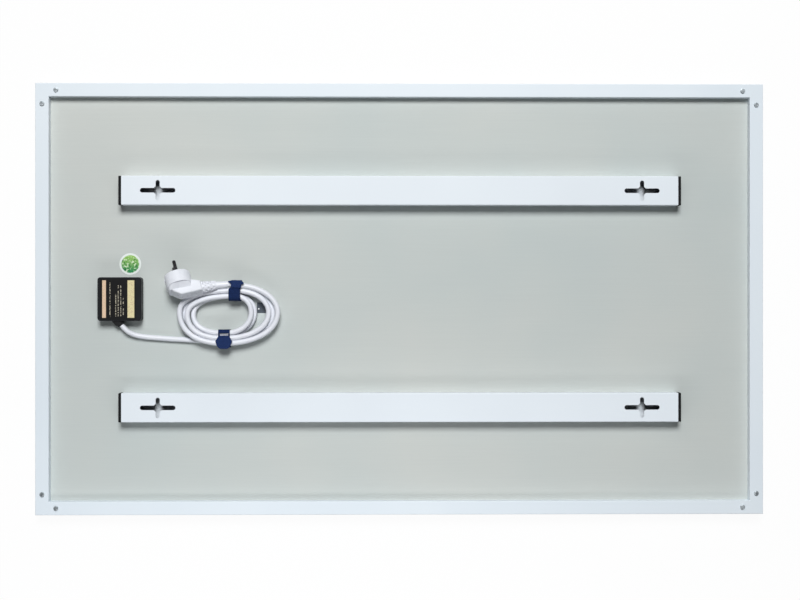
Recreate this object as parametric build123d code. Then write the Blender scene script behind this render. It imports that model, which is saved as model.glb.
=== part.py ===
from build123d import *
import math
import os

os.makedirs("parts", exist_ok=True)

# Infrared panel heater, lying on its front face as it is stored: +Z is the outward normal of the
# back, +X runs along the long side and +Y up the short side. The origin is on the plane of the
# front face, at the panel's centre. Millimetres.

# ---- panel and frame -------------------------------------------------------------------------
PANEL_WIDTH = 1005.0
PANEL_HEIGHT = 595.0
PANEL_DEPTH = 25.0
FRAME_WALL = 1.5
FLANGE_WIDTH = 18.5
LIP_WIDTH = 8.0
CHAMBER_DEPTH = 12.0
FRAME_EDGE_ROUND = 0.8
PACK_EDGE_GAP = 1.0

KEY_LEG = 48.0
KEY_CLEARANCE = 0.2
CORNER_SCREW_ALONG = 28.5
CORNER_SCREW_IN = 9.5
CORNER_SCREW_HEAD_R = 3.3
CORNER_SCREW_HEAD_H = 1.9
CORNER_SCREW_R = 1.75
CORNER_SCREW_LENGTH = 9.0
SCREW_HOLE_CLEARANCE = 0.15
THREAD_CLEARANCE = 0.05

# ---- heating pack, from the front face inwards -------------------------------------------------
FRONT_PLATE_T = 1.0
FILM_T = 0.5
FILM_MARGIN = 22.0
BUSBAR_T = 0.2
BUSBAR_WIDTH = 12.0
BUSBAR_INSET = 4.0
BUSBAR_GAP = 0.05
FOIL_T = 0.2
BACK_PLATE_T = 0.7
BOARD_EDGE_GAP = 2.0

# ---- wall rails --------------------------------------------------------------------------------
RAIL_LENGTH = 766.0
RAIL_WIDTH = 40.0
RAIL_HEIGHT = 20.0
RAIL_WALL = 1.5
RAIL_ROUND = 1.0
RAIL_SPACING = 298.5
KEYHOLE_FROM_END = 50.0
KEYHOLE_SLOT_LENGTH = 48.5
KEYHOLE_SLOT_WIDTH = 6.3
KEYHOLE_CROSS_LENGTH = 28.0
KEYHOLE_CROSS_WIDTH = 5.6
KEYHOLE_CENTRE_R = 6.0
CAP_FLANGE = 4.0
CAP_INSERT = 12.0
CAP_WALL = 1.6
CAP_CLEARANCE = 0.15
CAP_ROUND = 1.6
RIVET_STATIONS = (120.0, 275.0)
RIVET_R = 2.0
RIVET_HEAD_R = 3.8
RIVET_HEAD_H = 1.2
RIVET_TAIL_R = 3.0
RIVET_TAIL_H = 4.0
RIVET_POCKET_CLEARANCE = 0.8

# ---- junction box ------------------------------------------------------------------------------
BOX_FROM_LEFT = 116.5
BOX_ABOVE_CENTRE = 0.0
BOX_SIZE = 60.0
BOX_HEIGHT = 18.0
BOX_WALL = 2.0
BOX_ROUND = 4.0
LID_RIM = 4.0
LID_SKIRT = 3.0
LID_SKIRT_T = 1.4
LID_CLEARANCE = 0.2
LABEL_WIDTH = 49.5
LABEL_HEIGHT = 56.4
LABEL_SHIFT = -2.0
LABEL_T = 0.25
BOX_SCREW_PLACES = ((20.0, -20.0), (-23.0, 21.0))
BOX_SCREW_HEAD_R = 2.8
BOX_SCREW_HEAD_H = 1.8
BOX_SCREW_R = 1.5
BOX_SCREW_BELOW = 3.0

TERMINAL_X = -6.0
TERMINAL_Y = 7.0
TERMINAL_PITCH = 8.5
TERMINAL_POLES = 3
TERMINAL_DEPTH = 14.0
TERMINAL_HEIGHT = 11.0
TERMINAL_BORE_HEIGHT = 5.0
INSERT_R = 2.3
INSERT_BORE_R = 1.5
INSERT_LENGTH = 12.0
TERMINAL_SCREW_R = 1.3
TERMINAL_SCREW_SPREAD = 3.4
TERMINAL_SCREW_LENGTH = 3.6
FIT_CLEARANCE = 0.1

GROMMET_X = -6.0
GROMMET_Y = 21.0
GROMMET_R = 6.0
GROMMET_NECK_R = 4.6
GROMMET_BORE_R = 3.3
GROMMET_LIP = 1.2

EARTH_STUD_X = 17.0
EARTH_STUD_Y = 8.0
EARTH_STUD_R = 2.0
EARTH_STUD_HEAD_R = 4.0
EARTH_STUD_HEAD_H = 2.4
EARTH_RING_T = 1.0
EARTH_RING_R = 4.2

# ---- mains cord --------------------------------------------------------------------------------
CORD_DIA = 7.2
CORE_DIA = 2.2
CORE_SPACING = 2.3
CORE_FIRST_RUN = 5.0
CORE_RUN_STEP = 4.0
CORE_TURN_FROM_BLOCK = 3.0
CORE_TURN_STEP = 1.75
GLAND_TURN = 38.0
GLAND_SHIFT = -3.15
GLAND_REACH = 7.9
GLAND_ABOVE_PLATE = 8.2
GLAND_R = 6.4
GLAND_NECK_R = 5.0
GLAND_FLANGE_R = 6.1
GLAND_FLANGE_T = 1.5
GLAND_BORE_CLEARANCE = 0.2
TAIL_LENGTH = 27.0
CLAMP_FROM_MOUTH = 22.0
CLAMP_SPREAD = 6.2
CLAMP_POST_R = 2.2
CLAMP_LENGTH = 16.0
CLAMP_WIDTH = 5.0
CLAMP_T = 2.5
CLAMP_SCREW_R = 1.2
CLAMP_SCREW_HEAD_R = 2.1
CLAMP_SCREW_HEAD_H = 1.2
CLAMP_SCREW_BELOW = 5.0

# Free stretch: offsets from the gland's mouth in X and Y, and height of the cord's line above
# the back plate. The first point is the mouth and the last is the coil's start.
LEAD_POINTS = (
    (14.9, -12.75, 5.7),
    (28.6, -15.70, 4.2),
    (46.6, -16.60, 3.8),
    (66.3, -18.20, 3.8),
    (86.3, -18.90, 4.0),
    (103.3, -19.90, 4.5),
)
LEAD_FIRST_RUN = 9.0
LEAD_LAST_RUN = 13.0

# Coil: two layers, wound in below and out above. Places are from the gland's mouth; the innermost
# strand is at BOTTOM_IN, RIGHT_IN, TOP_IN and LEFT_IN, and the others lie outside it.
CORD_GAP = 0.5
LAYER_GAP = 0.6
TIE_BOTTOM_X = 141.8
TIE_TOP_X = 156.3
BOTTOM_IN = -7.4
TOP_IN = 40.7
TOP_TILT = 0.08
RIGHT_IN = 178.8
RIGHT_Y = 17.2
LEFT_IN = 99.3
RIGHT_FAN_LOWER = (29.1, 3.4)
RIGHT_FAN_UPPER = (0.0, 22.1, 36.1)
LEFT_FAN = (13.5, 0.0, 9.0, 19.5)
LEFT_Y = (18.2, 15.2, 15.2, 19.2)
CLIMB_AT_LEFT = 2.2
CLIMB_SLOPE = 0.2
BEND_FROM_BOTTOM = 35.0
BEND_FROM_RIGHT = 45.0
BEND_FROM_TOP = 15.0
BEND_FROM_LEFT = 52.0
COIL_SAMPLES = 24

TIE_WIDTH = 16.0
TIE_T = 1.3
TIE_GAP = 0.4
TIE_SLACK_TOP = 2.2
TIE_SLACK_BOTTOM = 1.2
TIE_LIFT = 0.1
TIE_ROUND = 4.0
TIE_HEAD_WIDTH = 22.8
TIE_HEAD_T = 1.3
TIE_TOP_HEAD = (50.8, 62.2)
TIE_BOTTOM_HEAD = (-31.2, -14.7)

# ---- plug, in its own frame: X across, Y out along the pins, Z from pin to pin ------------------
PLUG_FROM_MOUTH = (77.1, 68.2)
PLUG_ABOVE_PLATE = 18.0
PLUG_YAW = 19.0
PLUG_DIP = 25.0
PLUG_ROLL = 16.0
PLUG_FACE_R = 18.5
PLUG_FACE_DEPTH = 18.0
PLUG_FLAT = 17.5
PLUG_GRIP_HALF = 8.7
PLUG_GRIP_OUTLINE = (
    (-16.6, -14.0),
    (-15.6, -20.8),
    (-9.5, -27.4),
    (-1.5, -33.4),
    (14.0, -33.2),
    (28.0, -32.6),
    (28.0, -18.4),
    (17.0, -14.0),
)
PLUG_EDGE = 1.0
PIN_R = 2.4
PIN_LENGTH = 19.0
PIN_SPACING = 19.0
PIN_TIP = 2.0
PIN_ROOT_R = 3.2
PIN_ROOT = 6.0
BRIDGE_R = 14.0
BRIDGE_T = 8.0
PLUG_FIT = 0.05
EARTH_SOCKET_R = 2.5
EARTH_SOCKET_OFF = 10.0
EARTH_SOCKET_DEPTH = 7.0
CLIP_WIDTH = 7.0
CLIP_GROOVE = 8.0
CLIP_GROOVE_DEPTH = 2.6
CLIP_LENGTH = 14.0
CLIP_T = 0.9
CLIP_BULGE = 1.2
RELIEF_KNEE = (131.0, 55.3, 17.1)
RELIEF_END = (143.7, 56.2, 16.0)
RELIEF_START_R = 8.4
RELIEF_KNEE_R = 6.1
RELIEF_TAIL_R = 5.0
RELIEF_END_R = 4.5
RELIEF_RINGS = 5
RELIEF_SLOT = 1.4
RELIEF_SLOT_DEPTH = 1.6
RELIEF_WEBS = 8
RELIEF_WEB_WIDTH = 1.3

# ---- inner wires and cut-out -------------------------------------------------------------------
WIRE_DIA = 2.2
WIRE_BEND = 4.0
GROOVE_WIDTH = 3.4
CUTOUT_LENGTH = 20.0
CUTOUT_WIDTH = 8.0
CUTOUT_T = 4.0
CUTOUT_UP = 70.0
CUTOUT_CLEARANCE = 0.5

# ---- stickers ----------------------------------------------------------------------------------
STICKER_R = 15.0
STICKER_FROM_BOX = (12.0, 48.5)
SMALL_LABEL_SIZE = (24.0, 31.0)
SMALL_LABEL_FROM_MOUTH = (185.5, 31.3)

# ---- derived levels and places -----------------------------------------------------------------
HALF_W = PANEL_WIDTH / 2
HALF_H = PANEL_HEIGHT / 2
PLATE_TOP = PANEL_DEPTH - CHAMBER_DEPTH
PLATE_LOW = PLATE_TOP - BACK_PLATE_T
FRONT_LOW = FRAME_WALL
FILM_LOW = FRONT_LOW + FRONT_PLATE_T
FOIL_LOW = FILM_LOW + FILM_T
BOARD_LOW = FOIL_LOW + FOIL_T
PACK_W = PANEL_WIDTH - 2 * (FRAME_WALL + PACK_EDGE_GAP)
PACK_H = PANEL_HEIGHT - 2 * (FRAME_WALL + PACK_EDGE_GAP)
CHAMBER_LOW = PLATE_TOP + FRAME_WALL
CHAMBER_HIGH = PANEL_DEPTH - FRAME_WALL
RAIL_TOP = PLATE_TOP + RAIL_HEIGHT
RAIL_Y = RAIL_SPACING / 2
KEYHOLE_X = RAIL_LENGTH / 2 - KEYHOLE_FROM_END
BOX_X = -HALF_W + BOX_FROM_LEFT
BOX_Y = BOX_ABOVE_CENTRE
BOX_TOP = PLATE_TOP + BOX_HEIGHT
BOX_RIM = BOX_TOP - LID_RIM
BOX_FLOOR = PLATE_TOP + BOX_WALL
BOX_INNER = BOX_SIZE - 2 * BOX_WALL
CORD_R = CORD_DIA / 2
WIRE_Z = (BOARD_LOW + PLATE_LOW) / 2

GLAND_WAY = Vector(math.sin(math.radians(GLAND_TURN)), -math.cos(math.radians(GLAND_TURN)), 0)
GLAND_ENTRY = Vector(BOX_X + GLAND_SHIFT, BOX_Y - BOX_SIZE / 2, PLATE_TOP + GLAND_ABOVE_PLATE)
MOUTH = GLAND_ENTRY + GLAND_WAY * GLAND_REACH
LOWER_Z = PLATE_TOP + TIE_LIFT + TIE_T + TIE_GAP + CORD_R
UPPER_Z = LOWER_Z + CORD_DIA + LAYER_GAP
PITCH = CORD_DIA + CORD_GAP


def from_mouth(x, y, above_plate):
    """A point given from the gland's mouth in X and Y, and from the back plate in Z."""
    return Vector(MOUTH.X + x, MOUTH.Y + y, PLATE_TOP + above_plate)


def box_between(x0, x1, y0, y1, z0, z1):
    return Pos((x0 + x1) / 2, (y0 + y1) / 2, (z0 + z1) / 2) * Box(x1 - x0, y1 - y0, z1 - z0)


def rod(x, y, z0, z1, radius):
    return Pos(x, y, (z0 + z1) / 2) * Cylinder(radius, z1 - z0)


def rod_along(start, way, length, radius):
    """A cylinder from start along way."""
    return extrude(Plane(origin=start, z_dir=way) * Circle(radius), amount=length)


def cone_along(start, way, length, radius, end_radius):
    """A frustum from start along way."""
    base = Plane(origin=start, z_dir=way)
    return base * Pos(0, 0, length / 2) * Cone(radius, end_radius, length)


def group(solids):
    """Separate solids kept together in one node."""
    return Compound(children=[piece for shape in solids for piece in shape.solids()])


# ---- frame -------------------------------------------------------------------------------------
def bar_profile(reach):
    """Section of a frame bar on the YZ plane, its outer face at y = reach."""
    outline = Polyline(
        (reach, 0),
        (reach - LIP_WIDTH, 0),
        (reach - LIP_WIDTH, FRAME_WALL),
        (reach - FRAME_WALL, FRAME_WALL),
        (reach - FRAME_WALL, PLATE_TOP),
        (reach - FLANGE_WIDTH, PLATE_TOP),
        (reach - FLANGE_WIDTH, PANEL_DEPTH),
        (reach, PANEL_DEPTH),
        close=True,
    )
    chamber_width = FLANGE_WIDTH - 2 * FRAME_WALL
    chamber_height = CHAMBER_HIGH - CHAMBER_LOW
    chamber_y = reach - FLANGE_WIDTH / 2
    chamber_z = (CHAMBER_LOW + CHAMBER_HIGH) / 2
    section = make_face(outline)
    outer = [v for v in section.vertices() if abs(v.Y - reach) < 1e-6 or abs(v.Y - PANEL_DEPTH) < 1e-6]
    section = fillet(outer, FRAME_EDGE_ROUND)
    return section - Pos(chamber_y, chamber_z) * Rectangle(chamber_width, chamber_height)


def screw_places(length, reach):
    """Where the two corner screws of one bar go, in the bar's own frame."""
    along = length / 2 - CORNER_SCREW_ALONG
    return [(side * along, reach - CORNER_SCREW_IN) for side in (-1, 1)]


def frame_bar(length, reach, turn):
    """One mitred frame bar, made along X with its outer face at +Y, then turned into place."""
    bar = extrude(Plane.YZ * bar_profile(reach), amount=length / 2, both=True)
    deep = FLANGE_WIDTH + FRAME_WALL
    mitre = make_face(
        Polyline(
            (-length / 2, reach),
            (length / 2, reach),
            (length / 2 - deep, reach - deep),
            (deep - length / 2, reach - deep),
            close=True,
        )
    )
    bar = bar & extrude(mitre, amount=PANEL_DEPTH)
    for x, y in screw_places(length, reach):
        hole_r = CORNER_SCREW_R + SCREW_HOLE_CLEARANCE
        bar -= rod(x, y, CHAMBER_HIGH - FRAME_WALL, PANEL_DEPTH + FRAME_WALL, hole_r)
    return Rot(0, 0, turn) * bar


def corner_key(side_x, side_y):
    """The L-shaped key in the chamber of one corner, with its two screw holes."""
    inset = FRAME_WALL + KEY_CLEARANCE
    leg_width = FLANGE_WIDTH - 2 * inset
    low = CHAMBER_LOW + KEY_CLEARANCE
    high = CHAMBER_HIGH - KEY_CLEARANCE
    x = HALF_W - inset
    y = HALF_H - inset
    key = box_between(x - KEY_LEG, x, y - leg_width, y, low, high)
    key += box_between(x - leg_width, x, y - KEY_LEG, y, low, high)
    hole_r = CORNER_SCREW_R + THREAD_CLEARANCE
    key -= rod(HALF_W - CORNER_SCREW_ALONG, HALF_H - CORNER_SCREW_IN, low - 1, high + 1, hole_r)
    key -= rod(HALF_W - CORNER_SCREW_IN, HALF_H - CORNER_SCREW_ALONG, low - 1, high + 1, hole_r)
    if side_x < 0:
        key = mirror(key, Plane.YZ)
    if side_y < 0:
        key = mirror(key, Plane.XZ)
    return key


def cross_screw(head_r, head_h, shank_r, length):
    """A pan-head screw standing on z = 0 with its shank below, and a cross recess."""
    head = rod(0, 0, 0, head_h, head_r)
    head = fillet(head.edges().filter_by(GeomType.CIRCLE).group_by(Axis.Z)[-1], head_h * 0.45)
    slot = Box(head_r * 1.15, head_r * 0.28, head_h)
    recess = Pos(0, 0, head_h) * (slot + Rot(0, 0, 90) * slot)
    return head + rod(0, 0, -length, 0, shank_r) - recess


def corner_screws():
    screw = cross_screw(CORNER_SCREW_HEAD_R, CORNER_SCREW_HEAD_H, CORNER_SCREW_R, CORNER_SCREW_LENGTH)
    places = []
    for sx in (-1, 1):
        for sy in (-1, 1):
            places.append((sx * (HALF_W - CORNER_SCREW_ALONG), sy * (HALF_H - CORNER_SCREW_IN)))
            places.append((sx * (HALF_W - CORNER_SCREW_IN), sy * (HALF_H - CORNER_SCREW_ALONG)))
    return group([Pos(x, y, PANEL_DEPTH) * screw for x, y in places])


# ---- heating pack ------------------------------------------------------------------------------
def pack_layer(z0, z1, margin=0.0):
    """A flat layer of the pack, margin in from the pack's edge."""
    w = PACK_W / 2 - margin
    h = PACK_H / 2 - margin
    return box_between(-w, w, -h, h, z0, z1)


def busbar_places():
    """Y of the two busbars, which run the film's whole length."""
    y = PACK_H / 2 - FILM_MARGIN - BUSBAR_INSET - BUSBAR_WIDTH / 2
    return (-y, y)


def busbar(y, gap):
    half = BUSBAR_WIDTH / 2 + gap
    w = PACK_W / 2 - FILM_MARGIN - BUSBAR_INSET + gap
    return box_between(-w, w, y - half, y + half, FOIL_LOW - BUSBAR_T - gap, FOIL_LOW)


def heating_film():
    film = pack_layer(FILM_LOW, FOIL_LOW, FILM_MARGIN)
    for y in busbar_places():
        film -= busbar(y, BUSBAR_GAP)
    return film


def film_busbars():
    return group([busbar(y, 0.0) for y in busbar_places()])


def wire_drop(y_sign):
    """Where a supply wire goes down to its busbar."""
    return Vector(BOX_X + GROMMET_X, y_sign * busbar_places()[1], FOIL_LOW)


def drop_hole():
    """Cutter for the two holes that let the supply wires through foil and board."""
    r = GROOVE_WIDTH / 2
    return [rod(wire_drop(s).X, wire_drop(s).Y, FILM_LOW + FILM_T, WIRE_Z, r) for s in (-1, 1)]


def reflector_foil():
    foil = pack_layer(FOIL_LOW, BOARD_LOW, BOARD_EDGE_GAP)
    for hole in drop_hole():
        foil -= hole
    return foil


def rivet_places():
    return [(sx * x, sy * RAIL_Y) for x in RIVET_STATIONS for sx in (-1, 1) for sy in (-1, 1)]


def cutout_y():
    return BOX_Y + GROMMET_Y + CUTOUT_UP


def insulation_board():
    board = pack_layer(BOARD_LOW, PLATE_LOW, BOARD_EDGE_GAP)
    for x, y in rivet_places():
        head_low = PLATE_LOW - RIVET_HEAD_H - RIVET_POCKET_CLEARANCE
        board -= rod(x, y, head_low, PLATE_LOW, RIVET_HEAD_R + RIVET_POCKET_CLEARANCE)
    for hole in drop_hole():
        board -= hole
    x = BOX_X + GROMMET_X
    reach = busbar_places()[1] + GROOVE_WIDTH / 2
    half = GROOVE_WIDTH / 2
    board -= box_between(x - half, x + half, -reach, reach, WIRE_Z - half, PLATE_LOW)
    well = GROMMET_R + RIVET_POCKET_CLEARANCE
    board -= rod(x, BOX_Y + GROMMET_Y, WIRE_Z - half, PLATE_LOW, well)
    room = CUTOUT_CLEARANCE
    half_w = CUTOUT_WIDTH / 2 + room
    half_l = CUTOUT_LENGTH / 2 + room
    low = WIRE_Z - CUTOUT_T / 2 - room
    board -= box_between(x - half_w, x + half_w, cutout_y() - half_l, cutout_y() + half_l, low, PLATE_LOW)
    for dx, dy in BOX_SCREW_PLACES:
        board -= rod(BOX_X + dx, BOX_Y + dy, WIRE_Z - half, PLATE_LOW, BOX_SCREW_R + RIVET_POCKET_CLEARANCE)
    nut_r = EARTH_STUD_HEAD_R + RIVET_POCKET_CLEARANCE
    board -= rod(BOX_X + EARTH_STUD_X, BOX_Y + EARTH_STUD_Y, WIRE_Z - half, PLATE_LOW, nut_r)
    return board


def back_plate():
    plate = pack_layer(PLATE_LOW, PLATE_TOP)
    low = PLATE_LOW - 1
    high = PLATE_TOP + 1
    for x, y in rivet_places():
        plate -= rod(x, y, low, high, RIVET_R + THREAD_CLEARANCE)
    for dx, dy in BOX_SCREW_PLACES:
        plate -= rod(BOX_X + dx, BOX_Y + dy, low, high, BOX_SCREW_R + THREAD_CLEARANCE)
    plate -= rod(BOX_X + GROMMET_X, BOX_Y + GROMMET_Y, low, high, GROMMET_NECK_R + FIT_CLEARANCE)
    plate -= rod(BOX_X + EARTH_STUD_X, BOX_Y + EARTH_STUD_Y, low, high, EARTH_STUD_R + FIT_CLEARANCE)
    return plate


# ---- rails -------------------------------------------------------------------------------------
def keyhole(z0, z1):
    """Cutter for one cross-shaped keyhole about the origin."""
    shape = SlotOverall(KEYHOLE_SLOT_LENGTH, KEYHOLE_SLOT_WIDTH)
    shape += Rot(0, 0, 90) * SlotOverall(KEYHOLE_CROSS_LENGTH, KEYHOLE_CROSS_WIDTH)
    shape += Circle(KEYHOLE_CENTRE_R)
    return Pos(0, 0, z0) * extrude(shape, amount=z1 - z0)


def rail(y):
    section = RectangleRounded(RAIL_WIDTH, RAIL_HEIGHT, RAIL_ROUND)
    section -= Rectangle(RAIL_WIDTH - 2 * RAIL_WALL, RAIL_HEIGHT - 2 * RAIL_WALL)
    tube = extrude(Plane.YZ * section, amount=RAIL_LENGTH / 2, both=True)
    tube = Pos(0, y, PLATE_TOP + RAIL_HEIGHT / 2) * tube
    for side in (-1, 1):
        tube -= Pos(side * KEYHOLE_X, y, 0) * keyhole(RAIL_TOP - 2 * RAIL_WALL, RAIL_TOP + RAIL_WALL)
    for x, rivet_y in rivet_places():
        if rivet_y * y > 0:
            tube -= rod(x, y, PLATE_TOP - 1, PLATE_TOP + 2 * RAIL_WALL, RIVET_R + THREAD_CLEARANCE)
    return tube


def rail_cap(side, y):
    """End cap of a rail: a flange on the tube's end and a hollow plug inside it."""
    flange = extrude(RectangleRounded(RAIL_WIDTH, RAIL_HEIGHT, CAP_ROUND), amount=CAP_FLANGE)
    flange = fillet(flange.edges().group_by(Axis.Z)[-1], CAP_ROUND / 2)
    inner_w = RAIL_WIDTH - 2 * (RAIL_WALL + CAP_CLEARANCE)
    inner_h = RAIL_HEIGHT - 2 * (RAIL_WALL + CAP_CLEARANCE)
    insert = Rectangle(inner_w, inner_h) - Rectangle(inner_w - 2 * CAP_WALL, inner_h - 2 * CAP_WALL)
    cap = flange + extrude(insert, amount=-CAP_INSERT)
    out = Plane(
        origin=(side * RAIL_LENGTH / 2, y, PLATE_TOP + RAIL_HEIGHT / 2),
        x_dir=(0, 1, 0),
        z_dir=(side, 0, 0),
    )
    return out * cap


def rail_rivets():
    rivets = []
    for x, y in rivet_places():
        rivet = rod(x, y, PLATE_LOW - RIVET_HEAD_H, PLATE_LOW, RIVET_HEAD_R)
        rivet += rod(x, y, PLATE_LOW, PLATE_TOP + RAIL_WALL, RIVET_R)
        tail_low = PLATE_TOP + RAIL_WALL
        tail = rod(x, y, tail_low, tail_low + RIVET_TAIL_H, RIVET_TAIL_R)
        tail = fillet(tail.edges().filter_by(GeomType.CIRCLE).group_by(Axis.Z)[-1], RIVET_R / 2)
        rivets.append(rivet + tail)
    return group(rivets)


# ---- junction box ------------------------------------------------------------------------------
def box_block(size, radius, z0, z1):
    """A block with rounded upright edges, centred on the junction box."""
    return Pos(BOX_X, BOX_Y, z0) * extrude(RectangleRounded(size, size, radius), amount=z1 - z0)


def clamp_centre():
    return MOUTH - GLAND_WAY * CLAMP_FROM_MOUTH


def clamp_posts():
    """The two posts beside the cord's tail."""
    across = Vector(-GLAND_WAY.Y, GLAND_WAY.X, 0)
    return [clamp_centre() + across * (side * CLAMP_SPREAD) for side in (-1, 1)]


def junction_box_base():
    base = box_block(BOX_SIZE, BOX_ROUND, PLATE_TOP, BOX_RIM)
    base -= box_block(BOX_INNER, BOX_ROUND - BOX_WALL, BOX_FLOOR, BOX_RIM + 1)
    low = PLATE_TOP - 1
    high = BOX_FLOOR + 1
    for dx, dy in BOX_SCREW_PLACES:
        base -= rod(BOX_X + dx, BOX_Y + dy, low, high, BOX_SCREW_R + SCREW_HOLE_CLEARANCE)
    base -= rod(BOX_X + GROMMET_X, BOX_Y + GROMMET_Y, low, high, GROMMET_NECK_R + FIT_CLEARANCE)
    base -= rod(BOX_X + EARTH_STUD_X, BOX_Y + EARTH_STUD_Y, low, high, EARTH_STUD_R + FIT_CLEARANCE)
    base -= gland_core(GLAND_NECK_R + FIT_CLEARANCE)
    for post in clamp_posts():
        boss = rod(post.X, post.Y, BOX_FLOOR, MOUTH.Z, CLAMP_POST_R)
        base += boss - rod(post.X, post.Y, BOX_FLOOR + 1, MOUTH.Z + 1, CLAMP_SCREW_R + THREAD_CLEARANCE)
    return base


def junction_box_lid():
    lid = box_block(BOX_SIZE, BOX_ROUND, BOX_RIM, BOX_TOP)
    lid = fillet(lid.edges().group_by(Axis.Z)[-1], BOX_WALL / 2)
    lid -= box_block(BOX_INNER, BOX_ROUND - BOX_WALL, BOX_RIM - 1, BOX_TOP - BOX_WALL)
    outer = BOX_INNER - 2 * LID_CLEARANCE
    inner = outer - 2 * LID_SKIRT_T
    skirt = box_block(outer, BOX_ROUND - BOX_WALL, BOX_RIM - LID_SKIRT, BOX_TOP - BOX_WALL)
    skirt -= box_block(inner, BOX_ROUND - BOX_WALL, BOX_RIM - LID_SKIRT - 1, BOX_TOP)
    clear = GLAND_FLANGE_R + GLAND_FLANGE_T
    left = GLAND_ENTRY.X - 2 * clear
    right = GLAND_ENTRY.X + clear
    skirt -= box_between(left, right, BOX_Y - BOX_SIZE, BOX_Y - BOX_SIZE / 4, 0, BOX_RIM + 1)
    return lid + skirt


def rating_label():
    w = LABEL_WIDTH / 2
    h = LABEL_HEIGHT / 2
    x = BOX_X + LABEL_SHIFT
    return box_between(x - w, x + w, BOX_Y - h, BOX_Y + h, BOX_TOP, BOX_TOP + LABEL_T)


def box_fixing_screws():
    length = BOX_FLOOR - PLATE_LOW + BOX_SCREW_BELOW
    screw = cross_screw(BOX_SCREW_HEAD_R, BOX_SCREW_HEAD_H, BOX_SCREW_R, length)
    return group([Pos(BOX_X + dx, BOX_Y + dy, BOX_FLOOR) * screw for dx, dy in BOX_SCREW_PLACES])


def pole_places():
    """X of each pole of the terminal block."""
    middle = (TERMINAL_POLES - 1) / 2
    return [BOX_X + TERMINAL_X + (i - middle) * TERMINAL_PITCH for i in range(TERMINAL_POLES)]


TERMINAL_AT_Y = BOX_Y + TERMINAL_Y
TERMINAL_Z = BOX_FLOOR + TERMINAL_BORE_HEIGHT


def along_y(x, y0, y1, z, radius):
    return rod_along(Vector(x, y0, z), Vector(0, 1, 0), y1 - y0, radius)


def terminal_block():
    w = TERMINAL_POLES * TERMINAL_PITCH / 2
    d = TERMINAL_DEPTH / 2
    x = BOX_X + TERMINAL_X
    block = box_between(
        x - w, x + w, TERMINAL_AT_Y - d, TERMINAL_AT_Y + d, BOX_FLOOR, BOX_FLOOR + TERMINAL_HEIGHT
    )
    bore_r = INSERT_R + FIT_CLEARANCE
    for pole in pole_places():
        block -= along_y(pole, TERMINAL_AT_Y - d - 1, TERMINAL_AT_Y + d + 1, TERMINAL_Z, bore_r)
        for side in (-1, 1):
            y = TERMINAL_AT_Y + side * TERMINAL_SCREW_SPREAD
            top = BOX_FLOOR + TERMINAL_HEIGHT + 1
            block -= rod(pole, y, TERMINAL_Z, top, TERMINAL_SCREW_R + 3 * FIT_CLEARANCE)
    return block


def terminal_inserts():
    inserts = []
    half = INSERT_LENGTH / 2
    for pole in pole_places():
        insert = along_y(pole, TERMINAL_AT_Y - half, TERMINAL_AT_Y + half, TERMINAL_Z, INSERT_R)
        insert -= along_y(pole, TERMINAL_AT_Y - half, TERMINAL_AT_Y + half, TERMINAL_Z, INSERT_BORE_R)
        for side in (-1, 1):
            y = TERMINAL_AT_Y + side * TERMINAL_SCREW_SPREAD
            insert -= rod(pole, y, TERMINAL_Z, TERMINAL_Z + 2 * INSERT_R, TERMINAL_SCREW_R + THREAD_CLEARANCE)
        inserts.append(insert)
    return group(inserts)


def terminal_screws():
    screws = []
    low = TERMINAL_Z + INSERT_BORE_R
    high = low + TERMINAL_SCREW_LENGTH
    for pole in pole_places():
        for side in (-1, 1):
            y = TERMINAL_AT_Y + side * TERMINAL_SCREW_SPREAD
            slot = Pos(pole, y, high) * Box(3 * TERMINAL_SCREW_R, TERMINAL_SCREW_R / 3, TERMINAL_SCREW_R)
            screws.append(rod(pole, y, low, high, TERMINAL_SCREW_R) - slot)
    return group(screws)


def wire_grommet():
    x = BOX_X + GROMMET_X
    y = BOX_Y + GROMMET_Y
    grommet = rod(x, y, PLATE_LOW - GROMMET_LIP, PLATE_LOW, GROMMET_R)
    grommet += rod(x, y, PLATE_LOW, BOX_FLOOR, GROMMET_NECK_R)
    grommet += rod(x, y, BOX_FLOOR, BOX_FLOOR + GROMMET_LIP, GROMMET_R)
    return grommet - rod(x, y, PLATE_LOW - 2 * GROMMET_LIP, BOX_FLOOR + 2 * GROMMET_LIP, GROMMET_BORE_R)


def earth_stud():
    """Earth screw through the ring terminal, the box floor and the back plate, with its nut."""
    x = BOX_X + EARTH_STUD_X
    y = BOX_Y + EARTH_STUD_Y
    seat = BOX_FLOOR + EARTH_RING_T
    nut_low = PLATE_LOW - EARTH_STUD_HEAD_H
    screw = cross_screw(EARTH_STUD_HEAD_R, EARTH_STUD_HEAD_H, EARTH_STUD_R, seat - nut_low)
    nut = extrude(RegularPolygon(EARTH_STUD_HEAD_R, 6), amount=EARTH_STUD_HEAD_H)
    nut -= rod(0, 0, -1, EARTH_STUD_HEAD_H + 1, EARTH_STUD_R + THREAD_CLEARANCE)
    return group([Pos(x, y, seat) * screw, Pos(x, y, nut_low) * nut])


# ---- cord, gland and clamp ---------------------------------------------------------------------
def gland_core(radius):
    """A slanted cylinder through the box wall about the cord's line."""
    return rod_along(GLAND_ENTRY - GLAND_WAY * (4 * BOX_WALL), GLAND_WAY, 6 * BOX_WALL, radius)


def half_space(low_y, high_y):
    """A block round the box's near wall between two Y levels."""
    return box_between(
        BOX_X - BOX_SIZE, BOX_X + BOX_SIZE, low_y, high_y, PLATE_TOP, PLATE_TOP + 2 * BOX_HEIGHT
    )


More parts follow.
